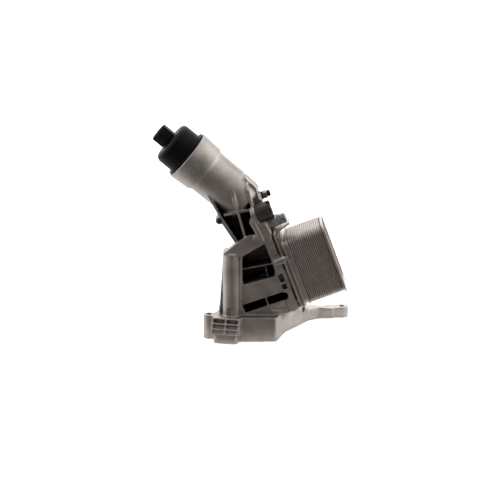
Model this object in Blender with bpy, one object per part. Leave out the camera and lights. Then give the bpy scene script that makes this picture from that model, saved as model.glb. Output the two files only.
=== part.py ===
"""Engine oil cooler: a die-cast oil filter housing with a brazed plate cooler.

The housing stands on its gasket face. Its filter bowl leans to the left and is
closed by a screw cap; the plate cooler is bolted to the slanted seat on the right.
Sizes are in millimetres here and are scaled to metres as each mesh is made.
X is to the right, Y away from the front, Z up from the gasket face.
"""
import math

import bmesh
import bpy
from mathutils import Matrix, Vector

MM = 0.001
FINE, ROUND, SMALL = 32, 16, 12     # sides of large, middling and small round pieces
GAP = 0.3               # space left between two seated pieces
WELD_REACH = 0.02       # points this near are one point after a cut

# Filter bowl, turned about its own leaning axis
BOWL_LEAN = 40.0        # degrees of the axis above level
BOWL_END_X, BOWL_Y, BOWL_END_Z = -44.8, -25.0, 207.2     # where the bowl's axis leaves its end wall
TUBE_R = 35.5
COLLAR_R = TUBE_R + 5.0
COLLAR_FOOT_R = TUBE_R + 3.0
COLLAR_LENGTH = 33.8
THREAD_BORE_R = TUBE_R - 0.5
THREAD_DEPTH = 22.0
BOWL_BORE_R = TUBE_R - 3.5
BOWL_DEPTH = 105.0
BOWL_END_WALL = 13.0
DRAIN_OFFSET = BOWL_BORE_R - 10.0
DRAIN_BORE_R = 4.4
DRAIN_DEPTH = 9.0

# Screw cap
CAP_FLANGE_R = COLLAR_R - 2.0
CAP_FLANGE_T = 3.0
CAP_SKIRT_CLEARANCE = 0.4
CAP_SKIRT_LENGTH = 20.0
CAP_SKIRT_WALL = 4.2
CAP_DOME_R = TUBE_R - 2.0
CAP_DOME_TOP = 34.0
CAP_DOME_WALL = 3.2
CAP_EDGE_R = 8.0
CAP_NECK_R = 13.5
CAP_NECK_H = 3.0
CAP_HEX_AF = 27.0
CAP_HEX_H = 19.0
CAP_RING_WIRE_R = 1.2

# Filter element and what stands inside it
ELEMENT_R = BOWL_BORE_R - 4.0
ELEMENT_BORE_R = 15.5
ELEMENT_TOP = 18.0
ELEMENT_BOTTOM = 9.0 - BOWL_DEPTH
PLEATS = 32
PLEAT_DEPTH = 4.0
END_CAP_R = ELEMENT_R + 1.0
END_CAP_T = 2.5
DRAIN_PIN_R = 3.2
DRAIN_RING_WIRE_R = 0.9
CORE_R = 13.2
CORE_WALL = 2.4
CORE_FOOT_R = DRAIN_OFFSET - 4.0
CORE_TOP = 6.0
CORE_SPIGOT_R = 9.7
FLAP_T = 2.0
BYPASS_HOLE_R = 6.0
BYPASS_SEAT_T = 3.0
BYPASS_DISC_R = 8.2
BYPASS_DISC_T = 2.0
BYPASS_SPRING_LENGTH = 18.0
CAGE_T = 3.0

# Cooler seat: a plane tilted back from upright; n runs out of it and u runs down it
SEAT_TILT = 20.5
BAR_BACK = 36.0
BAR_FACE = 51.0
PAD_H = 2.0
BAR_TOP = -160.0
BAR_BOTTOM = -34.0
BAR_NEAR = -54.0
BAR_FAR = 26.0
BASE_PLATE_T = 4.0
TRAY_T = 2.0
SPACER_T = 9.6
STACK_PLATES = 17
PLATE_PITCH = 3.15
PLATE_FLARE = 1.6
END_PLATE_T = 5.0
STACK_TOP = -144.5
STACK_BOTTOM = -33.0
STACK_NEAR = -57.0
STACK_FAR = 21.0
STACK_CORNER_R = 12.6
PORT_R = 8.5
SEAL_R = 12.0
SEAL_WIRE_R = 1.5
BOLT_R = 2.9
BOLT_FLANGE_R = 5.2
BOLT_HEAD_AF = 8.0
BOLT_HEAD_H = 5.5
BOLT_LENGTH = 13.0
BOLT_BOSS_L = 11.0
PORTS = {"oil_in": (-88.0, -27.0), "oil_out": (-127.0, -2.0),
         "coolant_in": (-50.0, -28.2), "coolant_out": (-56.0, 4.0)}
BOLTS = [(-118.0, -64.4), (-171.0, -19.0), (-124.0, 28.4), (-46.0, 28.4)]

# Bypass valve in the lug beside the cooler, and the fittings above it
LUG_NEAR = -66.0
BYPASS_U, BYPASS_Y = -176.0, -50.0
BYPASS_BOSS_R = 9.3
BYPASS_BOSS_FACE = 66.0
BYPASS_BORE_R = 7.0
BYPASS_BORE_FLOOR = 33.0
PISTON_H = 10.0
BYPASS_SPRING_H = 12.0
PLUG_WASHER_T = 1.5
PLUG_AF = 15.0
PLUG_HEAD_H = 10.0
COVER_U, COVER_Y = -198.0, -58.0
COVER_R = 13.5
COVER_FACE = 41.6
COVER_H = 23.8
COVER_BORE_R = 8.0
COVER_BOSS_R = COVER_R - 1.5
COVER_BORE_DEPTH = 6.5
COVER_BOSS_L = 8.3
BLEED_U, BLEED_Y = -212.6, -20.0
BLEED_FACE = 55.6
BLEED_R = 6.4
BLEED_HEX_AF = 11.5
BLEED_CAP_R = 5.0
BLEED_BORE_R = 3.2
BALL_X, BALL_Z = -86.3, 188.0
BALL_R = 3.9
BALL_NEAR = -56.0

# Base
BASE_H = 38.0
BASE_WALL = 6.0
BASE_ROOF = 7.0
REAR_H = 18.0
REAR_STEP_Y = 32.0
EAR_HOLE_R = 4.1
LEFT_EAR = (-102.8, -46.6, 8.8)
RIGHT_EAR = (106.7, 58.5, 10.5)
REAR_LEFT_EAR = (-80.0, 60.0, 10.0)
REAR_EAR = (22.0, 76.0, 10.0)
GASKET_W = 2.6
GASKET_T = 1.6
GROOVE_DEPTH = 2.0

# Frame between the base and the bowl
PILLAR_X, PILLAR_Y, PILLAR_R = -67.8, -51.5, 13.2
FRAME_NEAR = -54.0
FRAME_FAR = 22.0
WEB_NEAR = -18.0
WEB_FAR = -12.0
NECK_NEAR = -30.0
NECK_FAR = 14.0
RIB_NEAR = -60.0
RIB_T = 4.0
THIN_RIB_T = 2.2

for old in list(bpy.data.objects):
    bpy.data.objects.remove(old, do_unlink=True)


def material(name, colour, roughness, metallic):
    mat = bpy.data.materials.new(name)
    mat.use_nodes = True
    shader = mat.node_tree.nodes["Principled BSDF"]
    shader.inputs["Base Color"].default_value = (*colour, 1.0)
    shader.inputs["Roughness"].default_value = roughness
    shader.inputs["Metallic"].default_value = metallic
    mat.diffuse_color = (*colour, 1.0)
    return mat


CAST = material("cast_aluminium", (0.36, 0.34, 0.32), 0.5, 1.0)
PLATE = material("brazed_aluminium", (0.42, 0.40, 0.38), 0.35, 1.0)
NYLON = material("black_nylon", (0.02, 0.02, 0.02), 0.45, 0.0)
RUBBER = material("black_rubber", (0.015, 0.015, 0.015), 0.7, 0.0)
ZINC = material("zinc_plated_steel", (0.30, 0.31, 0.33), 0.35, 1.0)
SPRING = material("spring_steel", (0.40, 0.40, 0.40), 0.3, 1.0)
SOFT = material("soft_aluminium", (0.55, 0.54, 0.52), 0.4, 1.0)
PAPER = material("filter_paper", (0.75, 0.62, 0.35), 0.9, 0.0)
GUIDE = material("guide", (0.8, 0.2, 0.2), 0.5, 0.0)


def frame(name, origin, x_axis, z_axis):
    """An empty whose local axes carry the pieces built along them."""
    x, z = Vector(x_axis).normalized(), Vector(z_axis).normalized()
    y = z.cross(x)
    empty = bpy.data.objects.new(name, None)
    bpy.context.scene.collection.objects.link(empty)
    rows = Matrix((x, y, z)).transposed().to_4x4()
    empty.matrix_world = Matrix.Translation(Vector(origin) * MM) @ rows
    return empty


LEAN = math.radians(BOWL_LEAN)
RIM_X = BOWL_END_X - math.cos(LEAN) * (BOWL_DEPTH + BOWL_END_WALL)
RIM_Y = BOWL_Y
RIM_Z = BOWL_END_Z + math.sin(LEAN) * (BOWL_DEPTH + BOWL_END_WALL)
TILT = math.radians(SEAT_TILT)
OUT = (math.cos(TILT), math.sin(TILT))
DOWN = (math.sin(TILT), -math.cos(TILT))
BOWL = frame("bowl_axis", (RIM_X, RIM_Y, RIM_Z),
             (math.sin(LEAN), 0, math.cos(LEAN)), (-math.cos(LEAN), 0, math.sin(LEAN)))
SEAT = frame("cooler_seat", (0, 0, 0), (DOWN[0], 0, DOWN[1]), (OUT[0], 0, OUT[1]))
FRONT = frame("front_view", (0, 0, 0), (1, 0, 0), (0, -1, 0))


def seat_xz(n, u):
    """World X and Z of a point given in the plane of the cooler seat."""
    return (OUT[0] * n + DOWN[0] * u, OUT[1] * n + DOWN[1] * u)


def bowl_xz(s, r):
    """World X and Z of a point s along the bowl's axis and r off it, upward."""
    return (RIM_X - math.cos(LEAN) * s + math.sin(LEAN) * r,
            RIM_Z + math.sin(LEAN) * s + math.cos(LEAN) * r)


def place(bm, name, parent=None, at=(0, 0, 0), mat=CAST, smooth=True):
    bmesh.ops.scale(bm, vec=(MM, MM, MM), verts=bm.verts)
    bmesh.ops.recalc_face_normals(bm, faces=bm.faces)
    mesh = bpy.data.meshes.new(name)
    bm.to_mesh(mesh)
    bm.free()
    mesh.materials.append(mat)
    if smooth:
        mesh.shade_smooth()
        mesh.set_sharp_from_angle(angle=math.radians(35))
    ob = bpy.data.objects.new(name, mesh)
    bpy.context.scene.collection.objects.link(ob)
    ob.parent = parent
    ob.location = Vector(at) * MM
    return ob


def turned(profile, steps):
    """A solid turned about Z from a closed run of (radius, height) points."""
    bm = bmesh.new()
    ring = [bm.verts.new((r, 0, z)) for r, z in profile]
    edges = []
    for a, b in zip(ring, ring[1:] + ring[:1]):
        if a.co.x > 0 or b.co.x > 0:
            edges.append(bm.edges.new((a, b)))
    bmesh.ops.spin(bm, geom=ring + edges, cent=(0, 0, 0), axis=(0, 0, 1), dvec=(0, 0, 0),
                   angle=2 * math.pi, steps=steps, use_merge=True, use_duplicate=False)
    bmesh.ops.remove_doubles(bm, verts=bm.verts, dist=0.002)
    return bm


def prism(outline, low, high):
    """An outline in X and Y, extruded from low to high."""
    bm = bmesh.new()
    face = bm.faces.new([bm.verts.new((x, y, low)) for x, y in outline])
    grown = bmesh.ops.extrude_face_region(bm, geom=[face])["geom"]
    tops = [v for v in grown if isinstance(v, bmesh.types.BMVert)]
    bmesh.ops.translate(bm, vec=(0, 0, high - low), verts=tops)
    return bm


def stacked(levels):
    """A solid skinned over (outline, height) levels that have equal point counts."""
    bm = bmesh.new()
    rings = [[bm.verts.new((x, y, z)) for x, y in outline] for outline, z in levels]
    bm.faces.new(rings[0])
    bm.faces.new(rings[-1])
    for low, high in zip(rings, rings[1:]):
        count = len(low)
        for i in range(count):
            j = (i + 1) % count
            bm.faces.new((low[i], low[j], high[j], high[i]))
    return bm


def ring_of(radius, count, x=0.0, y=0.0, start=0.0):
    turn = 2 * math.pi / count
    return [(x + radius * math.cos(start + turn * i), y + radius * math.sin(start + turn * i))
            for i in range(count)]


def hexagon(across_flats):
    """Twelve points round a hexagon: each corner and each mid-flat."""
    points = []
    for i in range(12):
        r = across_flats / 2 / (math.cos(math.radians(30)) if i % 2 == 0 else 1.0)
        points.append((r * math.cos(math.radians(30 * i)), r * math.sin(math.radians(30 * i))))
    return points


def rounded(points, radius, steps=4):
    """The outline with each corner turned to an arc of the radius, or less on a short side."""
    out = []
    count = len(points)
    radii = radius if isinstance(radius, (list, tuple)) else [radius] * count
    for i, point in enumerate(points):
        before, here, after = Vector(points[i - 1]), Vector(point), Vector(points[(i + 1) % count])
        a, b = (before - here), (after - here)
        r = radii[i]
        if r <= 0:
            out.append(tuple(here))
            continue
        half = a.angle(b) / 2
        reach = min(r / math.tan(half), a.length * 0.48, b.length * 0.48)
        r = reach * math.tan(half)
        a.normalize()
        b.normalize()
        centre = here + (a + b).normalized() * (r / math.sin(half))
        start, end = here + a * reach - centre, here + b * reach - centre
        span = math.atan2(start.x * end.y - start.y * end.x, start.dot(end))
        for k in range(steps + 1):
            turn = span * k / steps
            c, s = math.cos(turn), math.sin(turn)
            out.append((centre.x + start.x * c - start.y * s, centre.y + start.x * s + start.y * c))
    return out


def box_outline(x0, x1, y0, y1):
    return [(x0, y0), (x1, y0), (x1, y1), (x0, y1)]


def strip(a, b, width):
    """A straight strip of the width between two points, as an outline."""
    a, b = Vector(a), Vector(b)
    side = (b - a).normalized() * width / 2
    side = Vector((-side.y, side.x))
    return [tuple(a - side), tuple(b - side), tuple(b + side), tuple(a + side)]


def guide(bm, name, group, parent=None, at=(0, 0, 0)):
    """A helper solid that a Boolean reads, kept out of the finished model."""
    ob = place(bm, name, parent, at, GUIDE, smooth=False)
    ob.hide_render = True
    ob.display_type = 'WIRE'
    bpy.context.scene.collection.objects.unlink(ob)
    group.objects.link(ob)
    return ob


def group_of(name):
    group = bpy.data.collections.new(name)
    bpy.context.scene.collection.children.link(group)
    return group


def combine(ob, group, operation):
    mod = ob.modifiers.new(group.name, 'BOOLEAN')
    mod.operand_type = 'COLLECTION'
    mod.collection = group
    mod.operation = operation
    mod.solver = 'EXACT'
    weld = ob.modifiers.new(group.name + "_weld", 'WELD')
    weld.merge_threshold = WELD_REACH * MM


def between(a, b, radius, count=12):
    """A round bar from a to b in world millimetres, with the frame that places it."""
    a, b = Vector(a), Vector(b)
    axis = (b - a).normalized()
    side = axis.cross(Vector((0, 1, 0)) if abs(axis.y) < 0.9 else Vector((1, 0, 0))).normalized()
    bm = prism(ring_of(radius, count), 0, (b - a).length)
    turn = Matrix((side, axis.cross(side), axis)).transposed().to_4x4()
    bmesh.ops.transform(bm, matrix=Matrix.Translation(a) @ turn, verts=bm.verts)
    return bm


def slab(name, group, outline, near, far):
    """A front outline in X and Z, given depth from near to far in Y."""
    return guide(prism(outline, -far, -near), name, group, FRONT)


def fin(name, group, a, b, width, near_a, near_b, far):
    """A rib seen from the front as a strip, whose near edge slopes from end a to end b."""
    outline = strip(a, b, width)
    bm = bmesh.new()
    nears = [near_a, near_b, near_b, near_a]
    front = [bm.verts.new((x, y, z)) for (x, z), y in zip(outline, nears)]
    back = [bm.verts.new((x, far, z)) for x, z in outline]
    bm.faces.new(front)
    bm.faces.new(back)
    for i in range(4):
        j = (i + 1) % 4
        bm.faces.new((front[i], front[j], back[j], back[i]))
    return guide(bm, name, group)


def lofted(name, group, near_outline, near, far_outline, far):
    """A solid between a front outline in X and Z and another one behind it."""
    bm = bmesh.new()
    rings = [[bm.verts.new((x, y, z)) for x, z in outline]
             for outline, y in ((near_outline, near), (far_outline, far))]
    bm.faces.new(rings[0])
    bm.faces.new(rings[1])
    count = len(near_outline)
    for i in range(count):
        j = (i + 1) % count
        bm.faces.new((rings[0][i], rings[0][j], rings[1][j], rings[1][i]))
    return guide(bm, name, group)


def coil(name, parent, at, radius, wire, length, turns, mat=SPRING, sides=5, per_turn=10):
    """A compression spring with closed ends, swept as one tube about local Z."""
    bm = bmesh.new()
    rise = length - 2 * wire
    total = turns + 1.5
    count = int(total * per_turn)
    rings = []
    for i in range(count + 1):
        t = i / count * total
        lift = min(max((t - 0.75) / turns, 0.0), 1.0) * (rise - wire * 3.2)
        lift += min(t, 0.75) * wire * 1.6 / 0.75 + max(t - 0.75 - turns, 0.0) * wire * 1.6 / 0.75
        angle = 2 * math.pi * t
        ring = []
        for k in range(sides):
            a = 2 * math.pi * k / sides
            r = radius + wire * math.cos(a)
            ring.append(bm.verts.new((r * math.cos(angle), r * math.sin(angle),
                                      wire + lift + wire * math.sin(a))))
        rings.append(ring)
    for low, high in zip(rings, rings[1:]):
        for k in range(sides):
            j = (k + 1) % sides
            bm.faces.new((low[k], low[j], high[j], high[k]))
    bm.faces.new(rings[0])
    bm.faces.new(rings[-1])
    return place(bm, name, parent, at, mat)


def torus(name, parent, at, radius, wire, mat=RUBBER, steps=28, sides=8):
    profile = [(radius + wire * math.cos(2 * math.pi * k / sides),
                wire * math.sin(2 * math.pi * k / sides)) for k in range(sides)]
    return place(turned(profile, steps), name, parent, at, mat)


# Housing: base body
BASE_OUTLINE = [(-90, -58), (-84, -66), (-54, -70), (-2, -69), (1.5, -66), (9.2, -40), (16.8, -20),
                (34, 4), (53, 33), (70, 44), (92, 45), (99, 62), (84, 66), (52, 66), (36, 72),
                (8, 72), (-8, 66), (-50, 62), (-66, 62), (-78, 48), (-82, 20), (-90, -26)]
housing = place(prism(BASE_OUTLINE, 0, BASE_H), "housing")
CUT_0 = group_of("base_top")
ADD_1 = group_of("outer_solids")
CUT_1 = group_of("pockets")
ADD_2 = group_of("ducts_and_ribs")
CUT_2 = group_of("bores")

for label, (x, y, r), height in (("left", LEFT_EAR, BASE_H), ("right", RIGHT_EAR, 17.0),
                                 ("rear_left", REAR_LEFT_EAR, REAR_H), ("rear", REAR_EAR, REAR_H)):
    guide(prism(ring_of(r, 20, x, y), 0, height), "ear_" + label, ADD_1)
    guide(prism(ring_of(EAR_HOLE_R, SMALL, x, y), -1, height + 1), "ear_hole_" + label, CUT_2)
guide(prism([(-102.8, -55), (-84, -60), (-84, -20), (-96, -38)], 0.4, BASE_H - 0.5),
      "left_ear_web", ADD_1)
guide(prism([(80, 44.6), (106, 48.4), (112, 58), (101, 68), (80, 66)], 0.4, 16.6), "right_ear_web", ADD_1)

# Ribbed pad and foot at the front left corner, turned a little toward the left
PAD_TURN = math.radians(-13)
pad_side = Vector((math.cos(PAD_TURN), math.sin(PAD_TURN), 0))
pad_out = Vector((math.sin(PAD_TURN), -math.cos(PAD_TURN), 0))
PAD = frame("pad_axes", Vector((-74, -60, 0)), pad_side, (0, 0, 1))
foot = rounded([(-19, 4), (-19, -20), (19, -20), (19, 4)], [0, 7, 7, 0])
guide(prism(foot, 0, 11), "foot", ADD_1, PAD)
lean = bmesh.new()
rows = [[(-23, 6, 0), (-23, -19.5, 0), (23, -19.5, 0), (23, 6, 0)],
        [(-22, 6, 25), (-22, -10.5, 25), (22, -10.5, 25), (22, 6, 25)]]
low_ring = [lean.verts.new(p) for p in rows[0]]
high_ring = [lean.verts.new(p) for p in rows[1]]
lean.faces.new(low_ring)
lean.faces.new(high_ring)
for i in range(4):
    lean.faces.new((low_ring[i], low_ring[(i + 1) % 4], high_ring[(i + 1) % 4], high_ring[i]))
guide(lean, "pad", ADD_1, PAD, (0, 0, 13))
for row in range(3):
    for column in range(2):
        x = -19.5 + 20.5 * column
        z = 15.0 + 7.6 * row
        y_face = -19.5 + 9.0 * (z - 13) / 25
        cut = prism(box_outline(x, x + 18, y_face - 4, y_face + 3.4 + row), z, z + 5.2)
        guide(cut, "pad_pocket_%d_%d" % (row, column), CUT_2, PAD)

# Slope from the tall front of the base down to its right ear, and the low rear
SLOPE = math.atan(0.172)
slope_from, slope_to = Vector((5, -48, BASE_H)), Vector((81, 49, BASE_H))
along = (slope_to - slope_from).normalized()
slope_up = Vector((0, 0, 1)) * math.cos(SLOPE) + along * math.sin(SLOPE)
SLOPED = frame("slope_axes", slope_from, along - slope_up * along.dot(slope_up), slope_up)
guide(prism(box_outline(0, 160, -90, 60), 0, 60), "slope_cut", CUT_0, SLOPED)
guide(prism(box_outline(-120, 130, REAR_STEP_Y, 100), REAR_H, 70), "rear_step", CUT_0)

# Frame: pillar, arm, slanted bar and the web that joins them
FRAME_OUTLINE = [(-81, 10), (1, 10), (3, 37), (20, 41.5), seat_xz(BAR_FACE - 0.4, BAR_BOTTOM - 1),
                 seat_xz(BAR_FACE - 0.4, -157), (-20, 172), (-43, 167), (-59, 156), (-80.8, 138.6)]
BACK_DROP = 21.0
frame_back = [(x, z - BACK_DROP) if x < -30 and z > 130 else (x, z) for x, z in FRAME_OUTLINE]
lofted("frame_block", ADD_1, FRAME_OUTLINE, FRAME_NEAR, frame_back, FRAME_FAR)
guide(prism(ring_of(PILLAR_R, ROUND, PILLAR_X, PILLAR_Y), 10, 137.5), "pillar_duct", ADD_1)
slab("arm_face", ADD_1, [(-80.6, 136), (-80.6, 138.2), (-59, 155.6), (-43, 166.5), (-25, 170),
                         (-19, 152.4), (-53.9, 133.7), (-55, 131)], -62, -50)
slab("side_strip", ADD_1, [(-88, 30), (-70, 30), (-70, 140), (-80.9, 138)], -46, -30)
guide(prism(rounded(box_outline(BAR_TOP, BAR_BOTTOM, BAR_NEAR, BAR_FAR), 8), BAR_BACK, BAR_FACE),
      "cooler_flange", ADD_1, SEAT)
slab("bar_face", ADD_1, [seat_xz(BAR_BACK, -158), seat_xz(BAR_BACK, -70), (21, 44), (30, 45),
                         seat_xz(BAR_FACE - 0.8, BAR_BOTTOM - 2.5), seat_xz(BAR_FACE - 0.8, -158)],
     BAR_NEAR - 3, BAR_NEAR + 4)
LUG_OUTLINE = [seat_xz(27, -190), seat_xz(31, -196), seat_xz(COVER_FACE - 1.5, -196),
               seat_xz(COVER_FACE - 0.5, COVER_U + COVER_R + 1), seat_xz(50, COVER_U + COVER_R + 2),
               seat_xz(52.5, -163), seat_xz(46, -150), seat_xz(33, -152), seat_xz(31.4, -158)]
slab("lug", ADD_1, LUG_OUTLINE, LUG_NEAR, -28)
slab("lug_edge", ADD_1, strip(seat_xz(32.6, -189), seat_xz(36.0, -156), 4.6), LUG_NEAR - 1.3, LUG_NEAR + 3)
slab("arm_boss", ADD_1, ring_of(5, SMALL, -29.5, 163.5), -64, -50)
NECK_OUTLINE = [(-55, 132), (-58, 148), (-82, 178), (-86, 190), (-80, 197), (-60, 206), (-28, 212),
                (-26, 196), (-16, 164), (-28, 140), (-30, 132)]
slab("neck", ADD_1, NECK_OUTLINE, NECK_NEAR, NECK_FAR)

# Bowl tube with its threaded collar
end_s = -(BOWL_DEPTH + BOWL_END_WALL)
tube_profile = [(0, 0), (COLLAR_R, 0), (COLLAR_FOOT_R, -COLLAR_LENGTH),
                (TUBE_R, -COLLAR_LENGTH - 3.4), (TUBE_R - 1, end_s + 12), (TUBE_R - 2.4, end_s + 5),
                (TUBE_R - 6, end_s + 1.2), (TUBE_R - 11, end_s), (0, end_s)]
guide(turned(tube_profile, FINE), "bowl_tube", ADD_1, BOWL)

# Fitting bosses
guide(prism(ring_of(BYPASS_BOSS_R, ROUND, BYPASS_U, BYPASS_Y), 30, BYPASS_BOSS_FACE),
      "bypass_boss", ADD_1, SEAT)
guide(prism(ring_of(COVER_BOSS_R, ROUND, COVER_U, COVER_Y), COVER_FACE - COVER_BOSS_L, COVER_FACE),
      "cover_boss", ADD_1, SEAT)
guide(prism(ring_of(BLEED_R + 2, SMALL, BLEED_U, BLEED_Y), 34, BLEED_FACE), "bleed_boss", ADD_1, SEAT)

# Front pockets
UPPER_POCKET = [(-51.5, 86), (-2.6, 99.6), seat_xz(BAR_BACK + 0.6, -104.0),
                seat_xz(BAR_BACK + 0.6, -147.4), (-22, 149.2), (-51.5, 130.6)]
slab("upper_pocket", CUT_1, rounded(UPPER_POCKET, 2.5, 2), -80, WEB_NEAR)
slot_a, slot_b = Vector((-49.5, 47.2)), Vector((12.4, 69.0))
SLOT_H = 13.0
slot = strip(slot_a, slot_b, SLOT_H)
slot_turn = math.atan2(slot_b.y - slot_a.y, slot_b.x - slot_a.x)
tip = ring_of(SLOT_H / 2, 12, slot_b.x, slot_b.y, slot_turn - math.pi / 2)[1:6]
slab("slot", CUT_1, slot[:2] + tip + slot[2:], -80, WEB_NEAR)
slab("lower_recess", CUT_1, rounded([(-14, 45), (15, 45), (20, 51), (11, 56.6)], 2, 2), -80, FRAME_NEAR + 1.5)
slab("foot_arch", CUT_1, [(-76.4, 38.6), (-76.4, 47), (-72.6, 52.4), (-67.6, 49), (-67.6, 38.6)], -70, -61.6)
for name, u0, u1 in (("upper", -95.3, -82.6), ("lower", -79.0, -70.4)):
    corners = [seat_xz(37.8, u0), seat_xz(45, u0), seat_xz(45, u1), seat_xz(37.8, u1)]
    slab("bar_pocket_" + name, CUT_1, corners, -80, BAR_NEAR + 3)

# Rear pockets and the underside
rear = [(-75, 44), (9, 46), seat_xz(30, -40), seat_xz(30, -150), (-42, 136), (-60, 122), (-75, 106)]
slab("rear_pocket", CUT_1, rounded(rear, 5, 2), WEB_FAR, 60)


def inset_outline(points, wall):
    """The outline moved inward by the wall, corner by corner."""
    area = sum(a[0] * b[1] - b[0] * a[1] for a, b in zip(points, points[1:] + points[:1]))
    turn = 1 if area > 0 else -1
    out = []
    for i, point in enumerate(points):
        here = Vector(point)
        a = (here - Vector(points[i - 1])).normalized()
        b = (Vector(points[(i + 1) % len(points)]) - here).normalized()
        na, nb = Vector((-a.y, a.x)) * turn, Vector((-b.y, b.x)) * turn
        mid = (na + nb).normalized()
        out.append(tuple(here + mid * (wall / max(mid.dot(na), 0.3))))
    return out


HOLLOW = [(-81, -49), (-52, -62), (-6, -61), (1, -40), (8, -18), (26, 7), (45, 37), (62, 52),
          (48, 58), (10, 60), (-50, 54), (-62, 54), (-69, 44), (-72, 18), (-79, -22)]
guide(prism(HOLLOW, -2, REAR_H - BASE_ROOF), "underside_low", CUT_1)
guide(prism([(-76, -47), (-52, -58), (-8, -57), (-1, -38), (8, -12), (18, 6), (18, REAR_STEP_Y - 8),
             (-70, REAR_STEP_Y - 8), (-74, -10)], -1, BASE_H - BASE_ROOF), "underside_high", CUT_1)

# Underside ribs, port lands and ducts, which end in the roof of the base
roof = BASE_H - BASE_ROOF + 1
low_roof = REAR_H - BASE_ROOF + 1
guide(prism(box_outline(-86, 12, -4, 4), 0, roof), "rib_across", ADD_2)
guide(prism(box_outline(-4, 4, -58, 58), 0, low_roof), "rib_along", ADD_2)
guide(prism(box_outline(-4.2, 4.2, -56, REAR_STEP_Y - 6), 0.5, roof), "rib_along_high", ADD_2)
guide(prism(ring_of(12, ROUND), 0, roof + 0.6), "land", ADD_2)
guide(prism(strip((-70, -27), (2, -42), 6), 0, roof), "rib_front", ADD_2)
guide(prism(strip((-64, 8), (-56, 56), 6), 0.3, low_roof), "rib_rear", ADD_2)
guide(prism(strip((28, 34), (24, 60), 6), 0.3, low_roof), "rib_right", ADD_2)

OIL_IN_FOOT = (-64.0, -28.0)
RETURN_FOOT = (-62.0, 9.0)
COOLANT_IN_FOOT = (-10.0, -33.0)
COOLANT_OUT_FOOT = (28.0, 34.0)
DUCT_WALL = 4.0
RETURN_R = 7.0
FEED_R = 6.5


def seat_point(n, u, y):
    x, z = seat_xz(n, u)
    return (x, y, z)


def bowl_point(s, r, y):
    x, z = bowl_xz(s, r)
    return (x, RIM_Y + y, z)


for label, (x, y), r, top in (("oil_in", OIL_IN_FOOT, PORT_R, roof),
                              ("return", RETURN_FOOT, RETURN_R, 102),
                              ("coolant_in", COOLANT_IN_FOOT, PORT_R, roof),
                              ("coolant_out", COOLANT_OUT_FOOT, PORT_R, low_roof)):
    guide(prism(ring_of(r + DUCT_WALL, ROUND, x, y), 0, top), "land_" + label, ADD_2)

u, y = PORTS["coolant_out"]
guide(between((*COOLANT_OUT_FOOT, 8), seat_point(BAR_FACE - 4, u, y), PORT_R + DUCT_WALL),
      "duct_coolant_out", ADD_2)
guide(between((*COOLANT_OUT_FOOT, -1), (*COOLANT_OUT_FOOT, 12), PORT_R), "foot_coolant_out", CUT_2)
guide(between((*COOLANT_OUT_FOOT, 10), seat_point(BAR_FACE + 6, u, y), PORT_R - 0.5),
      "bore_coolant_out", CUT_2)
u, y = PORTS["coolant_in"]
guide(between((*COOLANT_IN_FOOT, 8), seat_point(BAR_FACE - 6, u, y), PORT_R + DUCT_WALL - 0.7),
      "duct_coolant_in", ADD_2)
guide(between((*COOLANT_IN_FOOT, -1), (*COOLANT_IN_FOOT, 12), PORT_R), "foot_coolant_in", CUT_2)
guide(between((*COOLANT_IN_FOOT, 10), seat_point(BAR_FACE + 6, u, y), PORT_R - 0.5),
      "bore_coolant_in", CUT_2)
u, y = PORTS["oil_in"]
guide(prism(ring_of(PORT_R, SMALL, *OIL_IN_FOOT), -1, 76), "bore_oil_in", CUT_2)
guide(between(seat_point(-36, u, y), seat_point(BAR_FACE - 5, u, y), PORT_R + DUCT_WALL - 0.8),
      "duct_oil_in", ADD_2)
guide(between(seat_point(-40, u, y), seat_point(BAR_FACE + 6, u, y), PORT_R - 0.4),
      "bore_oil_in_across", CUT_2)
u, y = PORTS["oil_out"]
turn_in = seat_point(10, u, y)
feed_top = bowl_point(-BOWL_DEPTH + 4, 8.0, 23.0)
guide(between(seat_point(6, u, y), seat_point(BAR_FACE - 4, u, y), FEED_R + DUCT_WALL),
      "duct_oil_out", ADD_2)
guide(between(seat_point(8, u, y), seat_point(BAR_FACE + 6, u, y), FEED_R), "bore_oil_out", CUT_2)
guide(between((turn_in[0], y, turn_in[2] - 6), (turn_in[0] - 8, y, 172), FEED_R + DUCT_WALL + 0.4),
      "duct_feed", ADD_2)
guide(between(turn_in, feed_top, FEED_R - 0.3), "bore_feed", CUT_2)
RETURN_BEND, RETURN_TOP = (*RETURN_FOOT, 98), (-48.0, 8.0, 148.0)
guide(between(RETURN_BEND, RETURN_TOP, RETURN_R + DUCT_WALL - 0.5), "duct_return", ADD_2)
guide(prism(ring_of(RETURN_R, SMALL, *RETURN_FOOT), -1, 101), "bore_return", CUT_2)
guide(between(RETURN_BEND, RETURN_TOP, RETURN_R - 0.4), "bore_return_slant", CUT_2)
guide(between((RETURN_TOP[0] - 1, RETURN_TOP[1], RETURN_TOP[2] - 4), bowl_point(-BOWL_DEPTH - 5, 0, 0),
              RETURN_R - 0.6), "bore_return_top", CUT_2)

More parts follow.
